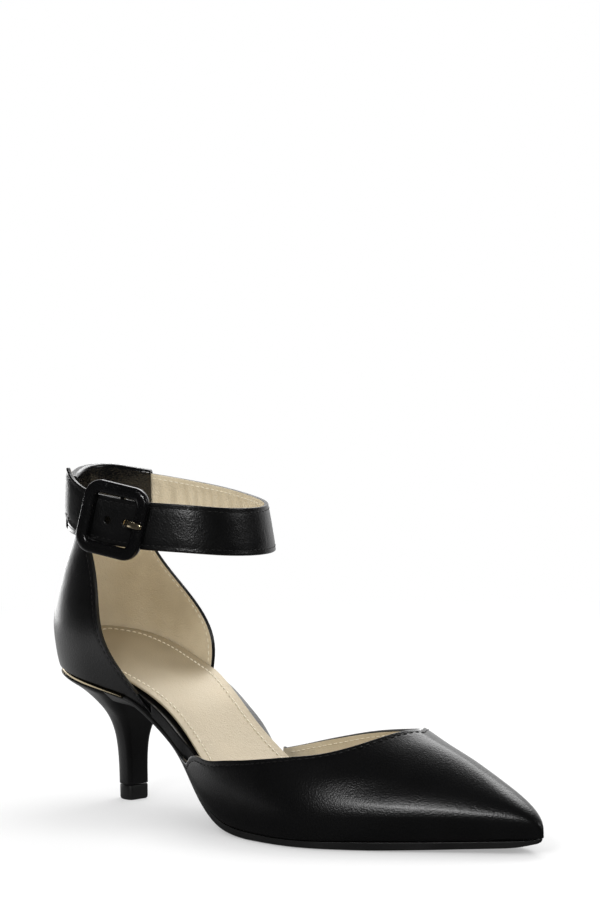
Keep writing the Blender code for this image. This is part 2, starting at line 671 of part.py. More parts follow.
def strapFrame(points, run, at):
    """A place on the strap's top edge, with the directions down its width and outwards."""
    spots = np.clip([at, at + 0.6, at - 0.6], 0.0, run[-1])
    place, ahead, behind = np.stack([np.interp(spots, run, points[:, k]) for k in range(3)], 1)
    along = (ahead - behind) / np.linalg.norm(ahead - behind)
    outward = np.array([-along[1], along[0], 0.0])
    flare = STRAP_FLARE * (1.0 + (place[0] - STRAP_MIDDLE_X) / STRAP_HALF_LENGTH)
    down = np.array([0.0, 0.0, -1.0]) + flare * outward / np.linalg.norm(outward)
    down /= np.linalg.norm(down)
    out = np.cross(down, along)
    return place, down, out / np.linalg.norm(out)


def strap(finish):
    """The ankle strap: one band from the buckle's bar round the ankle to its free end."""
    points, run = strapLine()
    total = run[-1]
    cell = HOLE_SIZE * 1.5
    holes = (PRONG_HOLE, SPARE_HOLE)
    marks = [total * k / 84 for k in range(85)]
    marks = [m for m in marks if all(abs(m - hole) > cell / 2.0 + 0.7 for hole in holes)]
    marks = sorted(marks + [hole + sign * cell / 2.0 for hole in holes for sign in (-1.0, 1.0)])
    middle = STRAP_WIDTH / 2.0
    depths = (0.0, middle - cell / 2.0, middle + cell / 2.0, STRAP_WIDTH)
    outer = []
    inner = []
    for at in marks:
        place, down, out = strapFrame(points, run, at)
        outer.append([tuple(place + down * depth + out * STRAP_THICK / 2.0) for depth in depths])
        inner.append([tuple(place + down * depth - out * STRAP_THICK / 2.0) for depth in depths])
    pierced = [(marks.index(hole - cell / 2.0), 1) for hole in holes]
    return wall("ankle_strap", outer, inner, finish, pierced)


def loop(finish):
    """The sleeve at the back of the heel that the strap runs through."""
    points, run = strapLine()
    count = 22
    outerLoops = []
    innerLoops = []
    for k in range(count + 1):
        at = LOOP_START + (LOOP_END - LOOP_START) * k / count
        place, down, out = strapFrame(points, run, at)
        middle = place + down * STRAP_WIDTH / 2.0
        for loops, less, cut in ((outerLoops, 0.0, 1.2), (innerLoops, LOOP_WALL, 0.4)):
            a, b = LOOP_HIGH / 2.0 - less, LOOP_DEEP / 2.0 - less
            corners = ((-a + cut, -b), (a - cut, -b), (a, -b + cut), (a, b - cut),
                       (a - cut, b), (-a + cut, b), (-a, b - cut), (-a, -b + cut))
            loops.append([tuple(middle + down * h + out * d) for h, d in corners])
    return sleeve("strap_loop", outerLoops, innerLoops, finish)


def sleeve(name, outerLoops, innerLoops, finish):
    """A tube with a wall, open at both ends."""
    size = len(outerLoops[0])
    last = len(outerLoops) - 1
    vertices = [point for loops in (outerLoops, innerLoops) for ring in loops for point in ring]
    half = len(outerLoops) * size
    faces = []
    for i in range(size):
        j = (i + 1) % size
        for k in range(last):
            faces.append((k * size + i, k * size + j, (k + 1) * size + j, (k + 1) * size + i))
            faces.append(tuple(half + v for v in faces[-1][::-1]))
        for k in (0, last):
            faces.append((k * size + i, k * size + j, half + k * size + j, half + k * size + i))
    return solid(name, vertices, faces, finish)


def buckleFrame():
    """The buckle's middle and its directions: towards the toe, upwards, outwards."""
    turn = math.radians(BUCKLE_TURN)
    out = np.array([math.sin(turn), -math.cos(turn), BUCKLE_LEAN])
    out /= np.linalg.norm(out)
    toe = np.array([math.cos(turn), math.sin(turn), -BUCKLE_FALL])
    toe -= out * np.dot(out, toe)
    toe /= np.linalg.norm(toe)
    middle = np.array([BUCKLE_X, BUCKLE_Y, BUCKLE_Z])
    return middle, toe, np.cross(toe, -out), out


def buckle(finish):
    """The covered buckle: a rounded square rim with its bar set back behind the strap."""
    middle, toe, up, out = buckleFrame()
    section = ((-1.0, -0.55), (-1.0, 0.45), (-0.6, 1.0), (0.6, 1.0),
               (1.0, 0.45), (1.0, -0.55), (0.6, -1.0), (-0.6, -1.0))
    rim = []
    steps = 5
    for quarter in range(4):
        sx, sz = ((1, 1), (-1, 1), (-1, -1), (1, -1))[quarter]
        for k in range(steps + 1):
            angle = math.radians(90.0 * (quarter + k / steps))
            normal = np.array([math.cos(angle), math.sin(angle)])
            round2 = BUCKLE_ROUND - BUCKLE_RIM / 2.0
            centre = np.array([sx * (BUCKLE_WIDTH / 2.0 - BUCKLE_ROUND),
                               sz * (BUCKLE_HEIGHT / 2.0 - BUCKLE_ROUND)])
            spot = centre + normal * round2
            ring = []
            for across, deep in section:
                flat = spot + normal * across * BUCKLE_RIM / 2.0
                ring.append(tuple(middle + toe * flat[0] + up * flat[1] + out * deep * BUCKLE_THICK / 2.0))
            rim.append(ring)
    count = len(section)
    vertices = [point for ring in rim for point in ring]
    faces = []
    for k in range(len(rim)):
        after = (k + 1) % len(rim)
        for i in range(count):
            j = (i + 1) % count
            faces.append((k * count + i, k * count + j, after * count + j, after * count + i))
    frame = solid("buckle_frame", vertices, faces, finish, 60.0)
    high = STRAP_WIDTH / 2.0 + FIT_GAP + 0.15
    half = BAR_THICK / 2.0
    outlineBar = ((high + BAR_THICK, -BUCKLE_THICK * 0.2), (high + BAR_THICK, BAR_DEPTH + half),
                  (-high - BAR_THICK, BAR_DEPTH + half), (-high - BAR_THICK, -BUCKLE_THICK * 0.2),
                  (-high, -BUCKLE_THICK * 0.2), (-high, BAR_DEPTH - half), (high, BAR_DEPTH - half),
                  (high, -BUCKLE_THICK * 0.2))
    side = [[tuple(middle + toe * shift + up * h - out * d) for h, d in outlineBar]
            for shift in (-half, half)]
    count = len(outlineBar)
    faces = [(0, 1, 2, 3, 4, 5, 6, 7), (15, 14, 13, 12, 11, 10, 9, 8)]
    faces += [(i, (i + 1) % count, count + (i + 1) % count, count + i) for i in range(count)]
    bar = solid("bar", side[0] + side[1], faces, finish, 60.0)
    joined = frame.modifiers.new("bar", "BOOLEAN")
    joined.operation = "UNION"
    joined.solver = "EXACT"
    joined.object = bar
    bpy.context.view_layer.update()
    result = bpy.data.meshes.new_from_object(frame.evaluated_get(bpy.context.evaluated_depsgraph_get()))
    frame.modifiers.clear()
    frame.data = result
    bpy.data.objects.remove(bar)
    return frame


def prong(finish):
    """The metal prong, from the bar through the strap's hole to the front rim of the buckle."""
    middle, toe, up, out = buckleFrame()
    loops = []
    for k, (a, depth) in enumerate(PRONG):
        before, after = PRONG[max(k - 1, 0)], PRONG[min(k + 1, len(PRONG) - 1)]
        run = np.array([after[0] - before[0], after[1] - before[1]], float)
        run /= np.linalg.norm(run)
        narrow = 1.0 if k < len(PRONG) - 1 else 0.55
        ring = []
        for angle in range(0, 360, 45):
            wide = math.cos(math.radians(angle + 22.5)) * PRONG_WIDE / 2.0 * narrow
            thick = math.sin(math.radians(angle + 22.5)) * PRONG_THICK / 2.0 * narrow
            flatA, flatD = a - run[1] * thick, depth + run[0] * thick
            ring.append(tuple(middle + toe * flatA + up * wide - out * flatD))
        loops.append(ring)
    return rings("buckle_prong", loops, finish, 60.0)


def main():
    """Build every piece."""
    for old in list(bpy.data.objects):
        bpy.data.objects.remove(old, do_unlink=True)
    leather = material("black_leather", (0.012, 0.012, 0.014), 0.35, 0.0)
    lining = material("champagne_lining", (0.62, 0.47, 0.31), 0.42, 0.35)
    metal = material("gold_metal", (0.83, 0.61, 0.3), 0.25, 1.0)
    outsole(material("sole_leather", (0.02, 0.02, 0.02), 0.45, 0.0))
    board(leather)
    sock(lining)
    heel(leather)
    topPiece(material("tip_rubber", (0.01, 0.01, 0.011), 0.5, 0.0))
    heelTrim(metal)
    frontUpper(leather)
    heelCup(leather)
    loop(leather)
    strap(leather)
    buckle(leather)
    prong(metal)


main()
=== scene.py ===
import math

import bmesh
import bpy
import numpy as np
from mathutils import Matrix, Vector


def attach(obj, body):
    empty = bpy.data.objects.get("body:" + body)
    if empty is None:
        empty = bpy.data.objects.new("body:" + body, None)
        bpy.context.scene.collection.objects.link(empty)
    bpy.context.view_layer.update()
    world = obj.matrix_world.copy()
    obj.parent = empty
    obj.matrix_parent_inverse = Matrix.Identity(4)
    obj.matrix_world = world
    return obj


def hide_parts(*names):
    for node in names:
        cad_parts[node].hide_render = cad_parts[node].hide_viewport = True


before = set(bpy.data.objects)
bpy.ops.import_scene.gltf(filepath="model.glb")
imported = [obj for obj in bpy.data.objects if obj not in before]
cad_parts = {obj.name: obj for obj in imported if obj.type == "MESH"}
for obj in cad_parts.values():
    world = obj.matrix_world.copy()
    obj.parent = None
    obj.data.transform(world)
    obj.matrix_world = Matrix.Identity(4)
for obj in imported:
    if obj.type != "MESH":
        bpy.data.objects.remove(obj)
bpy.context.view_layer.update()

print("frame:", len(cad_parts), "solids")

# ankle strap pump, right shoe: toe towards +X, outer side towards -Y, heel tip and sole on z = 0

cameraView = {
    "place": (0.8726, -0.80783, 0.1995),
    "azimuth": 46.724,  # degrees from the outer side towards the toe
    "elevation": 2.868,
    "roll": -1.117,
    "lens": 121.55,  # mm, over the tall side of the picture
    "sensor": 36.0,
}


def makeCamera(look):
    turn, rise, roll = (math.radians(look[name]) for name in ("azimuth", "elevation", "roll"))
    back = Vector((math.sin(turn) * math.cos(rise), -math.cos(turn) * math.cos(rise), math.sin(rise)))
    right = Vector((math.cos(turn), math.sin(turn), 0.0))
    up = back.cross(right)
    across = math.cos(roll) * right + math.sin(roll) * up
    upright = math.cos(roll) * up - math.sin(roll) * right
    data = bpy.data.cameras.new("camera")
    data.sensor_fit = "VERTICAL"
    data.sensor_height = look["sensor"]
    data.lens = look["lens"]
    data.clip_start, data.clip_end = 0.05, 30.0
    camera = bpy.data.objects.new("camera", data)
    bpy.context.scene.collection.objects.link(camera)
    turnMatrix = Matrix((across, upright, back)).transposed().to_4x4()
    camera.matrix_world = Matrix.Translation(look["place"]) @ turnMatrix
    bpy.context.scene.camera = camera


makeCamera(cameraView)
print("camera placed")

# the last and the foot bed, in millimetres: x from the back of the heel, y to the inner side
form = {
    "middleX": 126.3, "middleY": -2.57,  # where the frame's origin lies
    "length": 251.3,  # from the cup's back to the toe of the sole
    "upperWall": 1.6, "cupWall": 1.9, "sockThick": 1.2,
    "tuckAngle": 72.0, "sideShare": 0.14, "cupSquareness": 2.25,
    "upperStartOut": 96.5, "upperStartIn": 102.0,
    "cupEndOut": 75.2, "cupEndIn": 60.6, "bedGap": 0.5,
}

bedColumns = ("x", "sockOut", "sockIn", "sockTop", "boardOut", "boardIn", "boardUnder",
              "soleOut", "soleIn", "soleUnder")
bedTable = (
    (4.2, -1.6, 1.6, 68.2, -1.2, 1.2, 56, -1, 1, 51),
    (6, -8, 8, 68, -7, 7, 55.7, -6.6, 6.6, 50.6),
    (10, -14.4, 14.4, 67.4, -12.8, 12.8, 55, -13, 13, 49.9),
    (18, -20.3, 20.3, 65.9, -18.4, 18.4, 53.6, -19, 19, 48.4),
    (28, -23.4, 23.4, 63.4, -21.4, 21.4, 51.9, -22.4, 22.4, 46.6),
    (40, -24.4, 24.5, 59.7, -22.6, 22.7, 49.8, -24, 24, 44),
    (52, -23.9, 24.2, 55.6, -23.2, 23.4, 47.7, -24.4, 24.5, 42.2),
    (62, -22.6, 22.9, 52, -23.9, 24.1, 45.6, -24.4, 24.6, 40.9),
    (72, -21, 20.7, 47.4, -23.9, 23.9, 41, -24.3, 24.3, 36.6),
    (82, -20.2, 18.5, 41.6, -23.7, 22.6, 34.7, -24.1, 23, 30.2),
    (92, -21, 16.9, 34.7, -24.2, 21.4, 27.4, -24.8, 21.8, 22.8),
    (102, -23.4, 16.4, 27.8, -24.6, 18.2, 19.8, -27.8, 20.8, 15.2),
    (112, -26.6, 16.9, 21.2, -27.6, 17.8, 12.9, -31.3, 21.6, 8.6),
    (124, -30.9, 20.2, 14.2, -31.7, 21, 7, -35.2, 24.8, 3.2),
    (136, -36, 27, 10, -34.9, 25.8, 4.3, -37.8, 29.2, 0.6),
    (150, -39, 32.5, 7.8, -36.6, 30.6, 3.5, -39.3, 33.8, -0.1),
    (164, -39.5, 36.5, 7.2, -36.6, 33.4, 3.3, -39.4, 36.4, -0.2),
    (178, -37, 37, 7.2, -33.8, 33.6, 3.4, -36.2, 36.8, -0.2),
    (192, -30, 35, 7.4, -26.6, 31.2, 3.7, -28.8, 34.3, -0.1),
    (206, -21, 31, 7.6, -17.6, 27.4, 4, -19.8, 30.2, 0.3),
    (220, -11, 26, 8, -7.9, 22.7, 4.4, -10.3, 25.2, 0.9),
    (234, -1.5, 20.5, 8.4, 1.2, 17.4, 4.9, -0.8, 19.7, 1.7),
    (244, 5, 16, 8.8, 6.8, 14, 5.4, 5.2, 15.5, 2.5),
    (248.2, 8, 13.6, 9, 9, 12.3, 5.8, 7.9, 13.2, 3),
    (251.3, 10.5, 10.9, 9, 10.4, 11, 6.3, 10.1, 11.1, 3.6),
)

lastColumns = ("x", "edgeOut", "sideOut", "bulgeOut", "ridgeY", "ridgeZ", "sideIn", "bulgeIn", "edgeIn",
               "square")
lastTable = (
    (92, -24.4, -26.4, 5, -1.5, 78, 23.2, 4, 21.4, 2.1),
    (103, -28, -31.2, 6.6, -1.5, 73.5, 23.8, 5, 20.6, 2.1),
    (115, -32, -35.8, 8.4, -1.3, 68.5, 25.6, 6.4, 21.8, 2.1),
    (128, -36, -39.3, 9, -0.8, 63.5, 29.4, 8, 25.6, 2.05),
    (142, -38.2, -41.1, 9, 0, 58.4, 34, 9, 30.6, 2),
    (157, -39.3, -42, 9, 1, 53.4, 37.8, 9, 34.9, 1.9),
    (171, -38.3, -41, 9, 2.2, 49, 39.2, 9, 36.6, 1.78),
    (184, -33.2, -36.2, 9, 3.6, 44.9, 38.2, 9, 35.8, 1.66),
    (197, -25.2, -28.4, 9, 5.2, 39.3, 35, 9, 32.9, 1.6),
    (210, -16.8, -19.8, 8.8, 6.8, 34.1, 30.6, 8.8, 28.7, 1.6),
    (222, -8.6, -11.4, 8.4, 8.2, 28.4, 26, 8.4, 24.3, 1.66),
    (233, -1.2, -3.8, 7.8, 9.4, 23, 21.7, 7.8, 20.1, 1.74),
    (241.6, 4.6, 2.4, 6.8, 10, 18.8, 17.4, 6.8, 16.4, 1.82),
    (247, 7.9, 6.4, 5.8, 10.4, 15.7, 14, 5.8, 13.4, 1.9),
    (249.8, 9.6, 9, 4.6, 10.6, 12.8, 12.2, 4.6, 11.9, 1.95),
    (250.8, 10.5, 10.45, 3.4, 10.6, 10.6, 10.75, 3.4, 10.7, 2),
)

topColumns = ("outerX", "outerShare", "innerX", "innerShare")
topTable = (
    (96.1, 0.062, 101.6, 0.864),
    (108, 0.157, 112, 0.829),
    (120, 0.187, 124, 0.794),
    (132, 0.211, 136, 0.766),
    (144, 0.232, 148, 0.739),
    (156, 0.256, 159, 0.712),
    (167, 0.282, 169.5, 0.682),
    (176.5, 0.310, 178, 0.650),
    (184, 0.352, 184.5, 0.616),
    (188.8, 0.408, 189.2, 0.575),
    (191.6, 0.472, 191.7, 0.548),
    (192.8, 0.530, 192.8, 0.530),
)

cupColumns = ("z", "backX", "half", "depth", "frontOut", "frontIn")
cupTable = (
    (44, 9.4, 23.6, 33, 70.5, 58.5),
    (50, 6, 25, 35, 64.9, 57.9),
    (56, 3.6, 26.4, 37, 59.6, 57.6),
    (64, 2, 27.4, 38.5, 53.1, 56.3),
    (72, 1.3, 27.2, 37.5, 48.5, 52.5),
    (80, 2, 25.6, 35, 45.2, 46.8),
    (88, 3.9, 23.2, 31, 41.7, 40),
    (96, 6.8, 20.8, 27, 37.5, 33.4),
    (104, 10.2, 18.6, 23, 32.4, 29),
    (114, 13.2, 17.2, 20.5, 27.4, 26.4),
)

heelColumns = ("front", "behind", "back", "breast", "half")
heelTable = (
    (6.3, 6.3, 29.4, 39.7, 5.2),
    (14, 14, 29.3, 39.7, 5.3),
    (22, 22, 28.9, 39.9, 5.9),
    (28.5, 28.8, 28, 40.7, 7.4),
    (33.4, 35.4, 26, 42, 10.2),
    (37, 41.2, 22.2, 43.4, 13.8),
    (40.6, 45.8, 17, 44.8, 17.4),
    (43.4, 49.4, 11.6, 45.9, 20.8),
    (45.3, 52.3, 6.6, 46.3, 23.8),
    (46.8, 53.9, 5, 46.4, 25),
)

# x, y and height of the strap's top edge, from its fixed end round to its free end
strapTable = (
    (68.1, -26.9, 124.6),
    (61, -30.2, 125.9),
    (54.5, -32.4, 126.9),
    (48, -33, 127.9),
    (39.5, -30.6, 129.1),
    (30, -24.6, 130.2),
    (21.5, -15.6, 131.9),
    (16.6, -7.2, 133.8),
    (15.3, 0, 134.4),
    (16.8, 7.6, 134.2),
    (21.6, 15.6, 132.6),
    (30, 22.8, 130.6),
    (42, 29.2, 128.3),
    (58, 33.4, 125.6),
    (75, 32.6, 122.9),
    (89.6, 26.4, 121.1),
    (98.8, 16, 120.3),
    (102.4, 3, 120.5),
    (100.8, -8, 121.3),
    (95, -16.4, 122.4),
    (87, -22.4, 123.2),
    (76.9, -27.7, 124),
    (66.2, -32.6, 125.6),
    (56.1, -37.3, 128.6),
    (49.6, -38.6, 132.4),
    (43.4, -36.6, 137),
)


def smoothLine(knots, values, at):
    # natural cubic through the knots, straight beyond both ends
    knots, values, at = (np.asarray(a, float) for a in (knots, values, at))
    step, count = np.diff(knots), len(knots)
    system, right = np.eye(count), np.zeros(count)
    for i in range(1, count - 1):
        system[i, i - 1:i + 2] = step[i - 1], 2.0 * (step[i - 1] + step[i]), step[i]
        right[i] = 6.0 * ((values[i + 1] - values[i]) / step[i] - (values[i] - values[i - 1]) / step[i - 1])
    bend = np.linalg.solve(system, right)
    inside = np.clip(at, knots[0], knots[-1])
    cell = np.clip(np.searchsorted(knots, inside, side="right") - 1, 0, count - 2)
    low, high, width = inside - knots[cell], knots[cell + 1] - inside, step[cell]
    curve = (bend[cell] * high ** 3 + bend[cell + 1] * low ** 3) / (6.0 * width)
    curve = curve + (values[cell] / width - bend[cell] * width / 6.0) * high
    curve = curve + (values[cell + 1] / width - bend[cell + 1] * width / 6.0) * low
    first = (values[1] - values[0]) / step[0] - step[0] * bend[1] / 6.0
    last = (values[-1] - values[-2]) / step[-1] + step[-1] * bend[-2] / 6.0
    return curve + np.minimum(at - knots[0], 0.0) * first + np.maximum(at - knots[-1], 0.0) * last


def runOf(points):
    # how far along the line each of its points lies
    steps = np.linalg.norm(np.diff(np.asarray(points, float), axis=0), axis=1)
    return np.concatenate([[0.0], np.cumsum(steps)])


def pointAt(run, line, at):
    return np.array([np.interp(at, run, line[:, k]) for k in range(line.shape[1])])


def readTable(columns, rows, key, low, high):
    # every column as a quick function of the key column, or of the row number
    knots = [row[columns.index(key)] for row in rows] if key else list(range(len(rows)))
    dense = np.linspace(low, high, 3000)
    lines = {}
    for k, name in enumerate(columns):
        curve = smoothLine(knots, [row[k] for row in rows], dense)
        lines[name] = lambda at, curve=curve: np.interp(at, dense, curve)
    return lines


bedLine = readTable(bedColumns, bedTable, "x", -5.0, 260.0)
lastLine = readTable(lastColumns, lastTable, None, 0.0, len(lastTable) - 1.0)
topLine = readTable(topColumns, topTable, None, 0.0, len(topTable) - 1.0)
cupLine = readTable(cupColumns, cupTable, "z", 30.0, 120.0)
heelLine = readTable(heelColumns, heelTable, None, 0.0, len(heelTable) - 1.0)


def bed(name, x):
    return float(bedLine[name](x))


lastNumbers = np.linspace(0.0, len(lastTable) - 1.0, 1500)
lastPlaces = lastLine["x"](lastNumbers)


def power(value, exponent):
    return math.copysign(abs(value) ** exponent, value)


def clamp(value, low=0.0, high=1.0):
    return min(max(value, low), high)


def lastRow(number):
    row = {name: float(line(number)) for name, line in lastLine.items()}
    row["foot"] = bed("boardUnder", row["x"])
    return row


def rowAtX(x):
    return float(np.interp(x, lastPlaces, lastNumbers))


def sideOf(row, isOuter, inset):
    ridge = row["ridgeY"]
    edge, side = (row["edgeOut"], row["sideOut"]) if isOuter else (row["edgeIn"], row["sideIn"])
    turn = 1.0 if isOuter else -1.0
    room = max(abs(ridge - side), 0.02)
    least = 0.25 * room if inset > 0.0 else 0.0
    widest = ridge - turn * max(room - inset, least)
    foot = ridge - turn * max(abs(ridge - edge) - inset, 0.8 * least)
    return foot, widest, row["bulgeOut"] if isOuter else row["bulgeIn"]


def tuckedY(row, z, isOuter, inset):
    foot, widest, bulge = sideOf(row, isOuter, inset)
    tuck = math.radians(form["tuckAngle"])
    p = math.asin(clamp((row["foot"] + bulge - z) / bulge) * math.sin(tuck))
    return widest + (foot - widest) * (1.0 - math.cos(p)) / (1.0 - math.cos(tuck))


def sectionPoint(row, u, inset):
    # one point of a section of the last, u from the outer feather edge over the ridge to the inner one
    isOuter = u <= 0.5
    v = u if isOuter else 1.0 - u
    foot, widest, bulge = sideOf(row, isOuter, inset)
    waist = row["foot"] + bulge
    tuck, share = math.radians(form["tuckAngle"]), form["sideShare"]
    if v < share:
        z = waist - bulge * math.sin((1.0 - v / share) * tuck) / math.sin(tuck)
        y = tuckedY(row, z, isOuter, inset)
    else:
        p = (v - share) / (0.5 - share) * math.pi / 2.0
        y = row["ridgeY"] - (row["ridgeY"] - widest) * power(math.cos(p), 2.0 / row["square"])
        z = waist + (row["ridgeZ"] - inset - waist) * power(math.sin(p), 2.0 / row["square"])
    return row["x"], y, z


def cupPoint(z, share, inset):
    front = float(cupLine["frontOut" if share < 0.0 else "frontIn"](z))
    back, half, depth = (float(cupLine[name](z)) for name in ("backX", "half", "depth"))
    reach = (front - back) / depth
    angle = abs(share) * math.acos(power(1.0 - reach, form["cupSquareness"] / 2.0))
    bend = power(math.cos(angle), 2.0 / form["cupSquareness"])
    x = back + depth * (1.0 - bend) + inset * max(bend, 0.0)
    y = (half - inset) * power(math.sin(min(angle, math.pi / 2.0)), 2.0 / form["cupSquareness"])
    return x, math.copysign(y, share), z


def cupHalf(x, z, inset):
    back, half, depth = (float(cupLine[name](z)) for name in ("backX", "half", "depth"))
    reach = clamp((x - back - inset) / (depth - inset))
    angle = math.acos(power(1.0 - reach, form["cupSquareness"] / 2.0))
    return (half - inset) * power(math.sin(angle), 2.0 / form["cupSquareness"])


def bedEdges(x, z, out, inside, endOut=form["cupEndOut"], endIn=form["cupEndIn"]):
    # the foot bed stays between the walls of the cup and of the front upper
    row = lastRow(rowAtX(x))
    cupWall = form["cupWall"] + form["bedGap"]
    upperWall = form["upperWall"] + form["bedGap"]
    if x < endOut:
        out = max(out, -cupHalf(x, z, cupWall))
    elif x > form["upperStartOut"] - 1.5:
        out = max(out, tuckedY(row, z, True, upperWall))
    if x < endIn:
        inside = min(inside, cupHalf(x, z, cupWall))
    elif x > form["upperStartIn"] - 1.5:
        inside = min(inside, tuckedY(row, z, False, upperWall))
    return out, inside


# node groups for what several finishes share

def newGroup(name, inputs, outputs):
    group = bpy.data.node_groups.new(name, "ShaderNodeTree")
    for label, value in inputs.items():
        kind = "NodeSocketFloat" if isinstance(value, float) else "NodeSocketColor"
        group.interface.new_socket(name=label, in_out="INPUT", socket_type=kind).default_value = value
    for label, kind in outputs.items():
        group.interface.new_socket(name=label, in_out="OUTPUT", socket_type=kind)
    return group, group.nodes.new("NodeGroupInput").outputs, group.nodes.new("NodeGroupOutput").inputs


def setInputs(tree, node, inputs):
    # a socket is linked to its input, anything else is set there
    for label, value in dict(inputs).items():
        if isinstance(value, bpy.types.NodeSocket):
            tree.links.new(value, node.inputs[label])
        else:
            node.inputs[label].default_value = value


def addNode(tree, kind, inputs=(), **settings):
    node = tree.nodes.new("ShaderNode" + kind)
    for label, value in settings.items():
        setattr(node, label, value)
    setInputs(tree, node, inputs)
    return node


def fadeNode(tree, value, low, high, first, last):
    # a soft step from first to last while the value goes from low to high
    return addNode(tree, "MapRange", {"Value": value, "From Min": low, "From Max": high, "To Min": first,
                                      "To Max": last}, interpolation_type="SMOOTHSTEP").outputs[0]


def mathNode(tree, operation, *values):
    return addNode(tree, "Math", enumerate(values), operation=operation).outputs[0]


def grainGroupMade():
    # pores and fine wrinkles of a skin, as a height
    group, start, end = newGroup("skinGrain", {
        "Pores per m": 1800.0, "Pore depth": 0.5, "Wrinkles per m": 260.0, "Wrinkle depth": 0.5},
        {"Height": "NodeSocketFloat"})
    place = addNode(group, "TexCoord").outputs["Object"]
    pores = addNode(group, "TexVoronoi", {"Vector": place, "Scale": start["Pores per m"]},
                    feature="SMOOTH_F1")
    noise = addNode(group, "TexNoise", {"Vector": place, "Scale": start["Wrinkles per m"], "Detail": 5.0,
                                        "Distortion": 0.6}).outputs[0]
    folded = mathNode(group, "ABSOLUTE", mathNode(group, "SUBTRACT", noise, 0.5))
    ridges = mathNode(group, "MULTIPLY", folded, 2.0)
    poreHeight = mathNode(group, "MULTIPLY", pores.outputs["Distance"], start["Pore depth"])
    wrinkleHeight = mathNode(group, "MULTIPLY", ridges, start["Wrinkle depth"])
    group.links.new(mathNode(group, "ADD", poreHeight, wrinkleHeight), end["Height"])
    return group


def toneGroupMade():
    # slow change of colour and gloss over a surface
    black = (0.0, 0.0, 0.0, 1.0)
    group, start, end = newGroup("slowTone", {
        "Patches per m": 40.0, "Colour A": black, "Colour B": black, "Roughness A": 0.3, "Roughness B": 0.4},
        {"Colour": "NodeSocketColor", "Roughness": "NodeSocketFloat"})
    place = addNode(group, "TexCoord").outputs["Object"]
    patches = addNode(group, "TexNoise", {"Vector": place, "Scale": start["Patches per m"], "Detail": 1.5})
    spread = addNode(group, "MapRange", {"Value": patches.outputs[0], "From Min": 0.25, "From Max": 0.75})
    mix = addNode(group, "Mix", data_type="RGBA")
    group.links.new(spread.outputs[0], mix.inputs["Factor"])
    for label, socket in zip(("Colour A", "Colour B"), [one for one in mix.inputs if one.type == "RGBA"]):
        group.links.new(start[label], socket)
    group.links.new([one for one in mix.outputs if one.type == "RGBA"][0], end["Colour"])
    gloss = addNode(group, "MapRange", {"Value": spread.outputs[0], "To Min": start["Roughness A"],
                                        "To Max": start["Roughness B"]})
    group.links.new(gloss.outputs[0], end["Roughness"])
    return group


skinGrain, slowTone = grainGroupMade(), toneGroupMade()


def finish(name, look):
    # a Principled surface from the two groups; what is even all over sits on the shader itself
    made = bpy.data.materials.new(name)
    made.use_nodes = True
    tree = made.node_tree
    tone = addNode(tree, "Group", {
        "Patches per m": look["patches"],
        "Colour A": (*look["colourA"], 1.0), "Colour B": (*look["colourB"], 1.0),
        "Roughness A": look["roughness"][0], "Roughness B": look["roughness"][1]}, node_tree=slowTone)
    grain = addNode(tree, "Group", {
        "Pores per m": look["pores"][0], "Pore depth": look["pores"][1],
        "Wrinkles per m": look["wrinkles"][0], "Wrinkle depth": look["wrinkles"][1]}, node_tree=skinGrain)
    bump = addNode(tree, "Bump", {"Height": grain.outputs["Height"], "Distance": look["relief"],
                                  "Strength": 1.0})
    coat, coatRoughness = look.get("coat", (0.0, 0.1))
    setInputs(tree, tree.nodes["Principled BSDF"], {
        "Base Color": tone.outputs["Colour"], "Roughness": tone.outputs["Roughness"],
        "Normal": bump.outputs["Normal"], "Metallic": look.get("metallic", 0.0), "Coat Weight": coat,
        "Coat Roughness": coatRoughness})
    return made


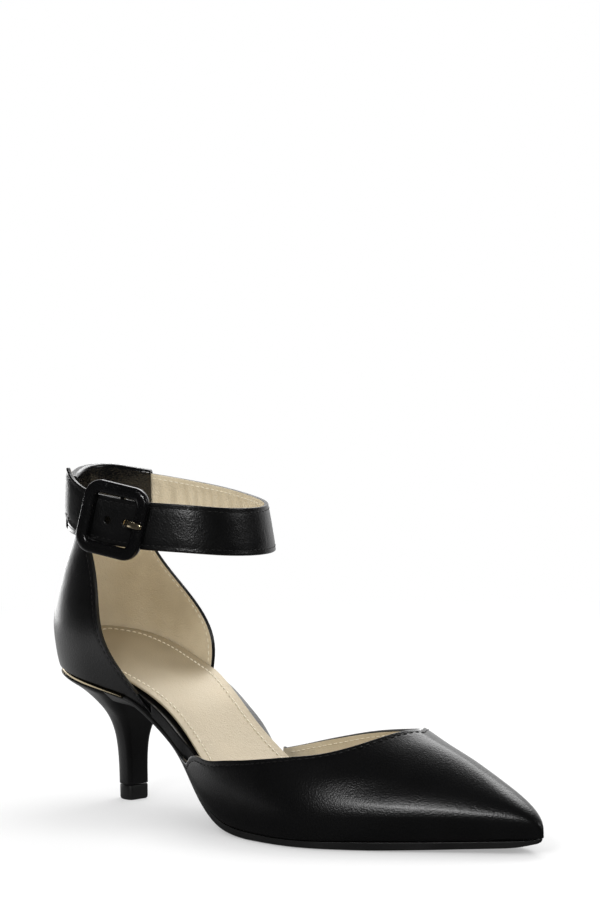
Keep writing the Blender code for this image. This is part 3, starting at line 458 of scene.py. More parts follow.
# pores and wrinkles: how many a metre and how deep; coat: how much and how rough
fineSkin = {"pores": (3500.0, 0.6), "wrinkles": (900.0, 0.3), "relief": 0.00006}
spunThread = {"patches": 900.0, "pores": (6000.0, 0.8), "wrinkles": (2500.0, 0.6), "relief": 0.00006}
finishLooks = {
    "blackCalf": {"colourA": (0.0018, 0.0018, 0.002), "colourB": (0.003, 0.003, 0.0033),
                  "roughness": (0.28, 0.33), "patches": 45.0, "pores": (1800.0, 0.7),
                  "wrinkles": (600.0, 0.3), "relief": 0.0001,
                  "coat": (0.12, 0.16)},
    "glossyCalf": {"colourA": (0.0015, 0.0015, 0.0017), "colourB": (0.0025, 0.0025, 0.0028),
                   "roughness": (0.16, 0.24), "patches": 90.0, "pores": (1700.0, 0.25),
                   "wrinkles": (260.0, 0.8), "relief": 0.00022,
                   "coat": (0.35, 0.12)},
    "strapCalf": {"colourA": (0.0018, 0.0018, 0.002), "colourB": (0.003, 0.003, 0.0033),
                  "roughness": (0.28, 0.36), "patches": 90.0, "pores": (1700.0, 0.45),
                  "wrinkles": (240.0, 0.6), "relief": 0.00015,
                  "coat": (0.15, 0.2)},
    "champagneLining": {"colourA": (0.72, 0.62, 0.44), "colourB": (0.84, 0.74, 0.55),
                        "roughness": (0.36, 0.46), "patches": 90.0, "pores": (2200.0, 0.7),
                        "wrinkles": (420.0, 0.8), "relief": 0.0002, "metallic": 0.15},
    "champagneSock": {"colourA": (0.4, 0.335, 0.23), "colourB": (0.5, 0.425, 0.3),
                      "roughness": (0.38, 0.46), "patches": 45.0, "pores": (2000.0, 0.7),
                      "wrinkles": (300.0, 0.6), "relief": 0.00014, "metallic": 0.35},
    "goldMetal": {"colourA": (0.9, 0.76, 0.52), "colourB": (0.82, 0.68, 0.44),
                  "roughness": (0.16, 0.24), "patches": 120.0, "pores": (4000.0, 0.1),
                  "wrinkles": (900.0, 0.2), "relief": 0.00002, "metallic": 1.0},
    "soleLeather": {"colourA": (0.008, 0.008, 0.008), "colourB": (0.013, 0.013, 0.013),
                    "roughness": (0.3, 0.42), "patches": 50.0, "pores": (1500.0, 0.5),
                    "wrinkles": (240.0, 0.4), "relief": 0.00012},
    "tipRubber": {**fineSkin, "colourA": (0.006, 0.006, 0.006), "colourB": (0.009, 0.009, 0.009),
                  "roughness": (0.38, 0.5), "patches": 200.0},
    "brownEdge": {**fineSkin, "colourA": (0.1, 0.055, 0.026), "colourB": (0.15, 0.085, 0.04),
                  "roughness": (0.4, 0.55), "patches": 300.0},
    "creamThread": {**spunThread, "colourA": (0.86, 0.78, 0.6), "colourB": (0.95, 0.88, 0.72),
                    "roughness": (0.5, 0.6)},
    "blackThread": {**spunThread, "colourA": (0.006, 0.006, 0.006), "colourB": (0.013, 0.013, 0.013),
                    "roughness": (0.4, 0.5)},
}
surface = {name: finish(name, look) for name, look in finishLooks.items()}
print("finishes:", len(surface))


# mesh helpers: millimetres of the form in, metres of the frame out

def makePiece(name, points, faces, finishes, kinds=None, replaced=(), slot="leather", rim=0.0, merge=0.002):
    mesh = bpy.data.meshes.new(name)
    shifted = (np.asarray(points, float) - (form["middleX"], form["middleY"], 0.0)) / 1000.0
    mesh.from_pydata([tuple(p) for p in shifted], [], faces)
    for one in finishes:
        mesh.materials.append(surface[one])
    if kinds is not None:
        mesh.polygons.foreach_set("material_index", kinds)
    work = bmesh.new()
    work.from_mesh(mesh)
    bmesh.ops.remove_doubles(work, verts=work.verts, dist=merge / 1000.0)
    bmesh.ops.recalc_face_normals(work, faces=work.faces)
    work.to_mesh(mesh)
    work.free()
    mesh.shade_smooth()
    piece = bpy.data.objects.new(name, mesh)
    bpy.context.scene.collection.objects.link(piece)
    if rim > 0.0:
        rounding = piece.modifiers.new("rounded edges", "BEVEL")
        rounding.width = rim / 1000.0
        rounding.segments = 3
        rounding.limit_method = "ANGLE"
        rounding.angle_limit = math.radians(55.0)
        rounding.use_clamp_overlap = False
        rounding.miter_outer = "MITER_ARC"
        even = piece.modifiers.new("even shading", "WEIGHTED_NORMAL")
        even.keep_sharp = True
    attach(piece, "root")
    if replaced:
        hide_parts(*replaced)
    return piece


def gridNormals(grid, middle):
    grid = np.asarray(grid, float)
    along, across = np.gradient(grid, axis=0), np.gradient(grid, axis=1)
    normals = np.cross(along, across)
    normals /= np.maximum(np.linalg.norm(normals, axis=2, keepdims=True), 1e-9)
    facing = np.sum(normals * (grid - middle), axis=2).mean()
    return normals if facing > 0.0 else -normals


def addFolds(grid, normals, folds):
    # soft troughs and ridges placed one by one: (start, end, depth, width), a ridge has a negative depth
    grid = np.asarray(grid, float)
    for start, end, depth, width in folds:
        start, end = np.array(start, float), np.array(end, float)
        line = end - start
        share = np.clip(((grid - start) @ line) / (line @ line), 0.0, 1.0)
        away = np.linalg.norm(grid - start - share[..., None] * line, axis=2)
        fade = np.sin(np.pi * np.clip(0.08 + 0.84 * share, 0.0, 1.0)) ** 0.8
        dip = depth * fade * np.exp(-(away / width) ** 2)
        grid = grid - normals * dip[..., None]
    return grid


def wallPiece(name, outer, inner, finishes, holes=(), holeSize=0.0, **more):
    # a closed wall between two grids; the inner side takes the second finish
    outer, inner = np.asarray(outer, float), np.asarray(inner, float)
    rows, cols = outer.shape[:2]
    points = [tuple(p) for p in outer.reshape(-1, 3)] + [tuple(p) for p in inner.reshape(-1, 3)]
    half = rows * cols
    faces, kinds = [], []

    def at(i, j, side):
        return side * half + i * cols + j

    def add(face, kind):
        faces.append(face)
        kinds.append(kind)

    for i in range(rows - 1):
        for j in range(cols - 1):
            corners = ((i, j), (i + 1, j), (i + 1, j + 1), (i, j + 1))
            if (i, j) in holes:
                pierce(points, add, [[at(a, b, side) for a, b in corners] for side in (0, 1)], holeSize)
                continue
            add(tuple(at(a, b, 0) for a, b in corners), 0)
            add(tuple(at(a, b, 1) for a, b in corners[::-1]), 1)
    for i in range(rows - 1):
        for j in (0, cols - 1):
            add((at(i, j, 0), at(i + 1, j, 0), at(i + 1, j, 1), at(i, j, 1)), 0)
    for j in range(cols - 1):
        for i in (0, rows - 1):
            add((at(i, j, 0), at(i, j + 1, 0), at(i, j + 1, 1), at(i, j, 1)), 0)
    return makePiece(name, points, faces, finishes, kinds, **more)


def pierce(points, add, cells, size):
    # a round hole through one cell of a wall
    corners = 24
    starts = []
    for kind, cell in enumerate(cells):
        spots = [np.array(points[k], float) for k in cell]
        middle = sum(spots) / 4.0
        along = (spots[1] + spots[2] - spots[0] - spots[3]) / 2.0
        across = (spots[2] + spots[3] - spots[0] - spots[1]) / 2.0
        along, across = along / np.linalg.norm(along), across / np.linalg.norm(across)
        start = len(points)
        starts.append(start)
        for k in range(corners):
            angle = 2.0 * math.pi * k / corners - math.pi * 0.75
            points.append(tuple(middle + size / 2.0 * (math.cos(angle) * along + math.sin(angle) * across)))
        part = corners // 4
        for side in range(4):
            arc = [start + (side * part + k) % corners for k in range(part + 1)]
            add((cell[side], cell[(side + 1) % 4], *arc[::-1]), kind)
    for k in range(corners):
        after = (k + 1) % corners
        add((starts[0] + k, starts[0] + after, starts[1] + after, starts[1] + k), 0)


def ringFaces(rings, sides, start=0, closed=False):
    # the faces between neighbouring rings of points
    faces = []
    for k in range(rings if closed else rings - 1):
        here, there = start + k * sides, start + (k + 1) % rings * sides
        for i in range(sides):
            j = (i + 1) % sides
            faces.append((here + i, here + j, there + j, there + i))
    return faces


def ringPiece(name, loops, finishes, **more):
    # a closed solid through rings of points with a cap at both ends
    count = len(loops[0])
    points = [tuple(p) for loop in loops for p in loop]
    caps = [tuple(range(count))[::-1], tuple(range((len(loops) - 1) * count, len(loops) * count))]
    return makePiece(name, points, caps + ringFaces(len(loops), count), finishes, **more)


def roundedSides(halfWide, halfHigh, radius, steps, between):
    # a rounded rectangle: for each point, the middle of its arc and the way out from there
    middles = np.array(((1, 1), (-1, 1), (-1, -1), (1, -1))) * (halfWide - radius, halfHigh - radius)
    found = []
    for quarter, middle in enumerate(middles):
        after = middles[(quarter + 1) % 4]
        found += [(middle, 90.0 * (quarter + k / steps)) for k in range(steps + 1)]
        found += [(middle + (after - middle) * share, 90.0 * (quarter + 1)) for share in between]
    return [(middle, np.array([math.cos(math.radians(turn)), math.sin(math.radians(turn))]))
            for middle, turn in found]


def inFrom(lines, distance):
    # points at one distance from the start of each line, measured along it
    return np.array([pointAt(runOf(line[:, :3]), line, distance) for line in np.asarray(lines, float)])


stitchLook = {
    "pitch": 2.6, "length": 1.9, "thick": 0.4, "sides": 6,
    # along a stitch: place, width and rise, as shares of its length and thickness
    "profile": ((-0.5, 0.3, -0.25), (-0.38, 0.85, 0.1), (0.0, 1.0, 0.28), (0.38, 0.85, 0.1),
                (0.5, 0.3, -0.25)),
}


def stitchRun(name, line, thread, slot, pitch=stitchLook["pitch"], length=stitchLook["length"],
              thick=stitchLook["thick"]):
    # a row of stitches along a line of points and normals (six columns), each a small bowed bead
    line = np.asarray(line, float)
    run = runOf(line[:, :3])
    count = int((run[-1] - length) / pitch)
    sides, profile = stitchLook["sides"], stitchLook["profile"]
    points, faces = [], []
    for s in range(count + 1):
        middle = length / 2.0 + s * (run[-1] - length) / max(count, 1)
        spot, normal = np.split(pointAt(run, line, middle), 2)
        ahead = (pointAt(run, line, middle + 0.5) - pointAt(run, line, middle - 0.5))[:3]
        ahead /= max(np.linalg.norm(ahead), 1e-9)
        normal -= ahead * (normal @ ahead)
        normal /= max(np.linalg.norm(normal), 1e-9)
        side = np.cross(ahead, normal)
        start = len(points)
        for along, wide, rise in profile:
            centre = spot + ahead * along * length + normal * rise * thick
            for k in range(sides):
                angle = 2.0 * math.pi * k / sides
                points.append(tuple(centre + (side * math.cos(angle) + normal * math.sin(angle))
                                    * wide * thick / 2.0))
        for cap in (start, start + (len(profile) - 1) * sides):
            faces.append(tuple(range(cap, cap + sides)))
        faces += ringFaces(len(profile), sides, start)
    return makePiece(name, points, faces, [thread], slot=slot, merge=0.0001)


# front upper
vampLook = {
    "around": 200, "up": 30,
    "nearTop": (0.0, 0.9, 1.5, 2.0, 2.5, 3.2, 4.2, 5.6, 7.4),  # mm below the top line
    "seamDepth": 0.09, "seamAt": 2.2, "seamWide": 0.55, "seamFade": 22.0, "rim": 0.42,
    "tipFrom": 222.0, "tipTo": 243.0, "tipRounds": 60,  # where and how often the toe is evened
    "centre": (160.0, 0.0, 10.0),  # a point inside the upper
    "thinFrom": 205.0, "thinOver": 45.0,  # towards the toe the lining falls back behind the leather
    "crowdToe": 1.15, "leanUp": 1.4, "leanAlong": 0.5,  # how the strips gather round the toe
    # start, end, depth and width of each soft fold in the leather
    "folds": (
        ((150.0, -41.0, 12.0), (205.0, -18.0, 24.0), 0.22, 3.2),
        ((162.0, -40.0, 20.0), (214.0, -13.0, 30.0), -0.16, 3.4),
        ((176.0, -34.0, 26.0), (196.0, 4.0, 41.0), 0.2, 3.0),
        ((184.0, -30.0, 24.0), (205.0, 6.0, 37.0), -0.14, 3.2),
        ((120.0, -37.0, 14.0), (150.0, -41.5, 10.0), 0.14, 2.4),
        ((168.0, 39.0, 18.0), (204.0, 28.0, 30.0), 0.18, 3.4),
        ((198.0, -20.0, 12.0), (226.0, -4.0, 10.0), 0.12, 2.2),
    ),
}


def vampPoint(look, i, t):
    around = look["around"]
    onOuter = i <= around / 2
    side = "outer" if onOuter else "inner"
    along = 1.0 - abs(2.0 * i / around - 1.0)
    station = along * (len(topTable) - 1.0)
    topX, topShare = float(topLine[side + "X"](station)), float(topLine[side + "Share"](station))
    footShare = 0.0 if onOuter else 1.0
    startRow = rowAtX(form["upperStartOut"] if onOuter else form["upperStartIn"])
    footRow = startRow + (len(lastTable) - 1.0 - startRow) * (1.0 - (1.0 - along) ** look["crowdToe"])
    rise = 1.0 - (1.0 - t) ** (1.0 + look["leanUp"] * along ** 3)
    u = footShare + (topShare - footShare) * rise
    row = lastRow(footRow + (rowAtX(topX) - footRow) * t ** (1.0 + look["leanAlong"] * along ** 3))
    back = form["upperWall"] * clamp((row["x"] - look["thinFrom"]) / look["thinOver"])
    return sectionPoint(row, u, 0.0), sectionPoint(lastRow(rowAtX(row["x"] - back)), u, form["upperWall"])


def stripFromTop(at, near, count):
    # one strip of a wall from its foot to its top edge, with the last points at set distances
    dense = np.linspace(0.0, 1.0, 40)
    line = np.array([at(t)[0] for t in dense])
    steps = np.linalg.norm(np.diff(line, axis=0), axis=1)
    below = np.concatenate([np.cumsum(steps[::-1])[::-1], [0.0]])
    scale = min(1.0, below[0] / (near[-1] * 1.6))
    far = np.linspace(below[0], near[-1] * scale, count + 1)[:-1]
    marks = list(far) + [d * scale for d in near[::-1]]
    pairs = [at(float(np.interp(-mark, -below, dense))) for mark in marks]
    return [p[0] for p in pairs], [p[1] for p in pairs], marks


def seamDip(outer, normals, below, look):
    # the folded edge stands proud of the seam that holds it
    below = np.asarray(below)
    fade = np.clip(below.max(axis=1, keepdims=True) / look["seamFade"], 0.0, 1.0)
    dip = look["seamDepth"] * fade * np.exp(-((below - look["seamAt"]) / look["seamWide"]) ** 2)
    return outer - normals * dip[..., None]


def wallStrips(look, at):
    # outer side, inner side and depth below the top edge, strip by strip
    strips = [stripFromTop(lambda t, i=i: at(i, t), look["nearTop"], look["up"])
              for i in range(look["around"] + 1)]
    return [np.array(part) for part in zip(*strips)]


def upperSkin(look, outer, below):
    # the outer side with its folds and the seam under its top edge
    normals = gridNormals(outer, look["centre"])
    return seamDip(addFolds(outer, normals, look["folds"]), normals, below, look), normals


def roundTip(grid, look):
    # evens the points round the tip of the toe, so that it ends in a blunt round
    grid = np.array(grid, float)
    for _ in range(look["tipRounds"]):
        weight = np.clip((grid[1:-1, :, 0] - look["tipFrom"]) / (look["tipTo"] - look["tipFrom"]), 0.0, 1.0)
        grid[1:-1] += 0.5 * weight[..., None] * ((grid[:-2] + grid[2:]) / 2.0 - grid[1:-1])
    return grid


def frontUpper(look):
    outer, inner, below = wallStrips(look, lambda i, t: vampPoint(look, i, t))
    outer, inner = roundTip(outer, look), roundTip(inner, look)
    outer, normals = upperSkin(look, outer, below)
    wallPiece("vampLeather", outer, inner, ["blackCalf", "champagneLining"], replaced=("vamp",),
              rim=look["rim"])
    return outer, inner, normals


vampOuter, vampInner, vampNormals = frontUpper(vampLook)
print("front upper:", vampOuter.shape[0] * vampOuter.shape[1], "points a side")

# heel cup
cupLook = {
    "around": 150, "up": 26, "nearTop": (0.0, 0.9, 1.5, 2.0, 2.5, 3.2, 4.2, 5.6),
    "topBack": 113.2, "topSide": 110.6, "footLift": 0.15, "centre": (35.0, 0.0, 80.0),
    "crowd": 0.92,  # under 1 brings points to the front edges
    "seamDepth": 0.14, "seamAt": 2.2, "seamWide": 0.55, "seamFade": 1.0, "rim": 0.45,
    "folds": (
        ((8.0, -14.0, 88.0), (34.0, -24.0, 84.0), 0.15, 3.0),
        ((14.0, -20.0, 68.0), (44.0, -27.0, 62.0), -0.14, 4.0),
        ((12.0, 16.0, 84.0), (36.0, 24.0, 80.0), 0.14, 3.2),
    ),
}


def cupSide(look, i, t):
    share = power(2.0 * i / look["around"] - 1.0, look["crowd"])
    foot = 50.0
    for _ in range(12):
        foot = bed("boardUnder", cupPoint(foot, share, 0.0)[0]) + look["footLift"]
    top = look["topBack"] + (look["topSide"] - look["topBack"]) * share ** 2
    z = foot + (top - foot) * t
    return cupPoint(z, share, 0.0), cupPoint(z, share, form["cupWall"])


def heelCup(look):
    outer, inner, below = wallStrips(look, lambda i, t: cupSide(look, i, t))
    outer, normals = upperSkin(look, outer, below)
    for end in (slice(None), slice(None, None, -1)):  # the same seam along both front edges
        run = np.array([runOf(line) for line in np.transpose(outer[end], (1, 0, 2))]).T
        outer = seamDip(outer[end], normals[end], run, look)[end]
    wallPiece("counterLeather", outer, inner, ["blackCalf", "champagneLining"], replaced=("counter",),
              rim=look["rim"])
    return outer, inner, normals


cupOuter, cupInner, cupNormals = heelCup(cupLook)
print("heel cup:", cupOuter.shape[0] * cupOuter.shape[1], "points a side")

# foot bed: padded sock, covered board and outsole
sockLook = {"back": 4.2, "front": 247.2, "along": 150, "rim": 0.4, "stitchIn": 4.2, "across": 22,
            # hollows of the heel seat and the arch: depth, where it ends and over what length it comes
            "seat": (2.0, 70.0, 30.0), "arch": (0.9, 150.0, 60.0),
            "pad": 0.35, "padEnd": 236.0}
boardLook = {"back": 6.3, "front": 247.0, "along": 130, "rim": 0.45,
             "freeOut": 67.2, "freeIn": 58.8}  # where its upper edge leaves the cup
soleLook = {"back": 46.8, "front": 249.4, "along": 120, "edge": 1.5, "rim": 0.4, "tuck": 1.0,
            "blunt": 236.0, "toeLift": 1.5, "liftFrom": 238.0,
            "waistEnd": 128.0, "waistFade": 40.0, "lowEdge": 0.35}  # its bevel along the waist
trimLook = {"front": 59.0, "thick": 1.05, "tip": 0.5, "proud": 0.8, "rim": 0.25}
fitGap = 0.3


def eased(first, last, count, marks=()):
    # stations from first to last, closer together at both ends
    share = (1.0 - np.cos(np.linspace(0.0, math.pi, count))) / 2.0
    even = np.linspace(0.0, 1.0, count)
    found = first + (last - first) * (0.55 * share + 0.45 * even)
    extra = [m for mark in marks for m in (mark - 0.2, mark + 0.2)]
    clear = [x for x in found if all(abs(x - e) > 0.5 for e in extra)]
    return sorted(list(clear) + extra)


def platePiece(name, stations, outline, top, under, shares, finishes, **more):
    upper, lower = [], []
    for x in stations:
        edges = outline(x)
        for grid, a, b, height in ((upper, edges[0], edges[1], top), (lower, edges[2], edges[3], under)):
            grid.append([(x, (a + b) / 2.0 + (b - a) / 2.0 * s, height(x, s)) for s in shares])
    wallPiece(name, upper, lower, finishes, **more)
    return np.array(upper)


def dish(x, s):
    deep = sum(most * clamp((end - x) / over) for most, end, over in (sockLook["seat"], sockLook["arch"]))
    return 0.5 * deep * (1.0 - s * s) - 0.5 * abs(s) ** 8


def sharesFor(count):
    even = np.linspace(-1.0, 1.0, count + 1)
    return [float(np.sign(s) * (1.0 - (1.0 - abs(s)) ** 1.35)) for s in even]


def sockTopAt(x, s):
    # the padding swells a little inside the stitched edge
    pad = sockLook["pad"] * clamp((1.0 - abs(s)) / 0.3) * clamp((sockLook["padEnd"] - x) / 12.0)
    return bed("sockTop", x) - dish(x, s) + pad - 0.2


def sock(look):
    def outline(x):
        z = bed("sockTop", x) - form["sockThick"]
        edges = bedEdges(x, z, bed("sockOut", x), bed("sockIn", x))
        return (*edges, *edges)

    def under(x, s):
        return bed("sockTop", x) - form["sockThick"] - dish(x, 0.98 * s)

    stations = eased(look["back"], look["front"], look["along"])
    return platePiece("sockLining", stations, outline, sockTopAt, under, sharesFor(look["across"]),
                      ["champagneSock", "brownEdge"], replaced=("sock",), slot="lining", rim=look["rim"])


def board(look):
    def upperZ(x):
        return bed("sockTop", x) - form["sockThick"] - fitGap

    def outline(x):
        out, inside = bed("boardOut", x), bed("boardIn", x)
        wideOut = min(out + 0.4, bed("sockOut", x) + 0.3)
        wideIn = max(inside - 0.4, bed("sockIn", x) - 0.3)
        low = bedEdges(x, bed("boardUnder", x), out, inside)
        return (*bedEdges(x, upperZ(x), wideOut, wideIn, look["freeOut"], look["freeIn"]), *low)

    def top(x, s):
        return upperZ(x) - dish(x, s * 0.9) - 0.4

    def under(x, s):
        return bed("boardUnder", x)

    stations = eased(look["back"], look["front"], look["along"],
                     (form["cupEndIn"], form["cupEndOut"], look["freeIn"], look["freeOut"]))
    platePiece("boardCover", stations, outline, top, under, sharesFor(12), ["blackCalf", "blackCalf"],
               replaced=("insole_board",), rim=look["rim"])


def trimThickness(x):
    look = trimLook
    return look["thick"] - (look["thick"] - look["tip"]) * clamp((x - 36.0) / (look["front"] - 36.0))


def outsole(look):
    def outline(x):
        blunt = clamp((x - look["blunt"]) / (look["front"] - look["blunt"]))
        ahead = x + (form["length"] - look["front"]) * blunt ** 2
        out, inside = bed("soleOut", ahead), bed("soleIn", ahead)
        tuck = min(look["tuck"] * clamp((x - 110.0) / 30.0), 0.45 * (inside - out))
        return out, inside, out + tuck, inside - tuck

    def top(x, s):
        metal = trimThickness(x) + fitGap if x < trimLook["front"] + 0.3 else 0.0
        return bed("boardUnder", x) - fitGap - metal

    def under(x, s):
        flat = max(bed("soleUnder", x), 0.0)
        waist = clamp((look["waistEnd"] - x) / look["waistFade"])
        rim = (bed("boardUnder", x) - fitGap - look["edge"] - flat) * waist + look["lowEdge"] * (1.0 - waist)
        lift = look["toeLift"] * clamp((x - look["liftFrom"]) / (look["front"] - look["liftFrom"])) ** 2
        return flat + lift + max(rim, 0.0) * clamp((abs(s) - 0.8) / 0.2)

    stations = eased(look["back"], look["front"], look["along"], (trimLook["front"] + 0.35,))
    shares = (-1.0, -0.96, -0.9, -0.84, -0.8, -0.5, -0.2, 0.2, 0.5, 0.8, 0.84, 0.9, 0.96, 1.0)
    platePiece("soleEdge", stations, outline, top, under, shares, ["soleLeather", "soleLeather"],
               replaced=("outsole",), slot="sole", rim=look["rim"])


def heelTrim(look):
    back = heelTable[-1][2] - look["proud"]

    def outline(x):
        reach = min((x - back) / 40.0, 1.0)
        half = (heelTable[-1][4] + look["proud"]) * power(math.sin(math.acos(power(1.0 - reach, 1.12))), 0.9)
        half -= 0.5 * clamp((x - 30.0) / 20.0)
        return -half, half, -half, half

    def top(x, s):
        return bed("boardUnder", x) - fitGap

    def under(x, s):
        return top(x, s) - trimThickness(x)

    stations = [back + 0.02 + (look["front"] - back) * (k / 70.0) ** 1.9 for k in range(70)] + [look["front"]]
    platePiece("heelTrimLine", stations, outline, top, under, (-1.0, -0.5, 0.0, 0.5, 1.0),
               ["goldMetal", "goldMetal"], replaced=("heel_trim",), slot="metal", rim=look["rim"])


sockGrid = sock(sockLook)
board(boardLook)
outsole(soleLook)
heelTrim(trimLook)
print("foot bed, outsole and trim")

# heel and top piece
heelLook = {"levels": 46, "turn": 72, "corner": 0.35, "rim": 0.35, "round": 0.86}
# height of each level above the floor, and how much smaller it is there
tipLook = {"gap": 0.1, "levels": ((0.0, 0.55), (0.25, 0.3), (0.6, 0.12), (1.2, 0.05), (5.5, 0.0), (6.0, 0.2))}


def heelRing(row, turn, shrink=0.0):
    front, behind, back, breast, half = row
    back, breast, half = back + shrink, breast - shrink, half - shrink
    corner = heelLook["corner"] * half
    deep = breast - back
    points = []
    for k in range(turn + 1):
        angle = math.pi * (k / turn - 0.5)
        points.append((back + (deep - corner) * (1.0 - power(math.cos(angle), heelLook["round"])),
                       half * power(math.sin(angle), heelLook["round"])))
    for sign in (1.0, -1.0):
        bend = []
        for k in range(1, 9):
            angle = math.radians(90.0 * k / 8)
            bend.append((breast - corner + corner * math.sin(angle),
                         sign * (half - corner + corner * math.cos(angle))))
        points += bend if sign > 0.0 else bend[::-1]
    return [(x, y, behind + (front - behind) * (x - back) / deep) for x, y in points]


def heel(look):
    numbers = np.linspace(0.0, len(heelTable) - 1.0, look["levels"])
    rows = [[float(heelLine[name](n)) for name in heelColumns] for n in numbers]
    ringPiece("heelCover", [heelRing(row, look["turn"]) for row in rows], ["blackCalf"], replaced=("heel",),
              rim=look["rim"])


def topPiece(look):
    _, _, back, breast, half = heelTable[0]
    loops = [heelRing((z, z, back, breast, half), heelLook["turn"], look["gap"] + less)
             for z, less in look["levels"]]
    ringPiece("heelTip", loops, ["tipRubber"], replaced=("top_piece",), slot="tip")


heel(heelLook)
topPiece(tipLook)
print("heel and tip")

# ankle strap with its two holes, and the sleeve that it runs through
strapLook = {
    "width": 18.7, "thick": 1.8, "middleX": 59.4, "halfLength": 45.9, "flare": 0.085,
    "marks": 250, "holes": (240.9, 248.9), "holeSize": 2.8, "rim": 0.4,
    "wrinkleDepth": 0.95, "wrinklePitch": 4.8,
    "seamDepth": 0.14, "seamIn": 1.9, "seamWide": 0.5, "crown": 0.12,
}
sleeveLook = {
    "start": 47.5, "end": 96.5,  # along the strap, from its fixed end
    "high": 21.7, "deep": 4.8, "rim": 0.35, "count": 60,
    "skins": ((0.0, 1.5), (1.1, 0.5)),  # how far in each skin lies, and its corners' radius
}


def strapPath():
    knots = np.array(strapTable, float)
    chord = runOf(knots)
    dense = np.linspace(0.0, chord[-1], 1200)
    points = np.stack([smoothLine(chord, knots[:, k], dense) for k in range(3)], 1)
    return points, runOf(points)


strapPoints, strapRun = strapPath()


def strapFrame(at):
    spots = np.clip([at, at + 0.6, at - 0.6], 0.0, strapRun[-1])
    place, ahead, behind = pointAt(strapRun, strapPoints, spots).T
    along = (ahead - behind) / np.linalg.norm(ahead - behind)
    outward = np.array([-along[1], along[0], 0.0])
    flare = strapLook["flare"] * (1.0 + (place[0] - strapLook["middleX"]) / strapLook["halfLength"])
    down = np.array([0.0, 0.0, -1.0]) + flare * outward / np.linalg.norm(outward)
    down /= np.linalg.norm(down)
    out = np.cross(along, down)
    return place, down, out / np.linalg.norm(out)


def strap(look):
    total, cell = strapRun[-1], look["holeSize"] * 1.5
    marks = [total * k / look["marks"] for k in range(look["marks"] + 1)]
    marks = [m for m in marks if all(abs(m - hole) > cell / 2.0 + 0.6 for hole in look["holes"])]
    marks = sorted(marks + [hole + sign * cell / 2.0 for hole in look["holes"] for sign in (-1.0, 1.0)])
    middle, width = look["width"] / 2.0, look["width"]
    depths = (0.0, 0.8, 1.5, 2.2, 3.2, 5.0, middle - cell / 2.0, middle + cell / 2.0,
              width - 5.0, width - 3.2, width - 2.2, width - 1.5, width - 0.8, width)
    outer, inner = [], []
    for at in marks:
        place, down, out = strapFrame(at)
        covered = sleeveLook["start"] - 4.0 < at < sleeveLook["end"] + 4.0
        turn = at * 2.0 * math.pi / look["wrinklePitch"] + 2.0 * math.sin(at * 0.21)
        wave = 0.0 if covered else math.sin(turn)
        outerRow, innerRow = [], []
        for depth in depths:
            away = min(depth, width - depth)
            seam = look["seamDepth"] * math.exp(-((away - look["seamIn"]) / look["seamWide"]) ** 2)
            crown = look["crown"] * clamp(away / 4.0)
            pucker = look["wrinkleDepth"] * 0.5 * (wave - 1.0) * clamp((away - 2.0) / 3.0)
            outerRow.append(tuple(place + down * depth + out * (look["thick"] / 2.0 - seam + crown)))
            innerRow.append(tuple(place + down * depth - out * (look["thick"] / 2.0 - seam * 0.6 + pucker)))
        outer.append(outerRow)
        inner.append(innerRow)
    pierced = [(marks.index(hole - cell / 2.0), 6) for hole in look["holes"]]
    wallPiece("strapBand", outer, inner, ["strapCalf", "champagneLining"], pierced, look["holeSize"],
              replaced=("ankle_strap",), rim=look["rim"])


def sleevePiece(look):
    loops = []
    for less, radius in look["skins"]:
        sides = roundedSides(look["high"] / 2.0 - less, look["deep"] / 2.0 - less, radius, 5,
                             (0.25, 0.5, 0.75))
        section = [middle + radius * way for middle, way in sides]
        for k in range(look["count"] + 1):
            place, down, out = strapFrame(look["start"] + (look["end"] - look["start"]) * k / look["count"])
            centre = place + down * strapLook["width"] / 2.0
            loops.append([tuple(centre + down * h + out * d) for h, d in section])
    size, rings = len(loops[0]), look["count"] + 1
    half = rings * size
    faces = ringFaces(rings, size) + ringFaces(rings, size, half)
    for end in (0, half - size):
        for i in range(size):
            j = (i + 1) % size
            faces.append((end + i, end + j, half + end + j, half + end + i))
    makePiece("strapSleeve", [p for loop in loops for p in loop], faces, ["glossyCalf"],
              replaced=("strap_loop",), rim=look["rim"])


strap(strapLook)
sleevePiece(sleeveLook)
print("strap and sleeve")

# covered buckle and its prong
buckleLook = {
    "width": 28.0, "height": 29.0, "rimWide": 5.0, "thick": 3.8, "corner": 7.0,
    "middle": (69.0, -35.8, 117.0), "turn": 25.0, "fall": 0.22, "lean": 0.1,
    "barDeep": 5.4, "barThick": 2.0, "barRim": 0.45, "sides": 20,
    "roundAcross": 0.62, "roundDeep": 0.75,  # under 1 is squarer than a circle
}
prongLook = {
    "wide": 2.4, "thick": 1.0, "sides": 14, "point": 1.6,
    # towards the toe, and in behind the buckle's middle plane
    "line": ((1.4, 5.6), (3.0, 5.75), (4.2, 5.3), (4.7, 4.3), (4.75, 3.0),
             (5.2, 1.2), (6.6, -0.9), (8.3, -2.3), (10.4, -2.75), (14.0, -2.75)),
}


def buckleFrame(look):
    turn = math.radians(look["turn"])
    out = np.array([math.sin(turn), -math.cos(turn), look["lean"]])
    out /= np.linalg.norm(out)
    toe = np.array([math.cos(turn), math.sin(turn), -look["fall"]])
    toe -= out * (out @ toe)
    toe /= np.linalg.norm(toe)
    return np.array(look["middle"]), toe, np.cross(toe, -out), out


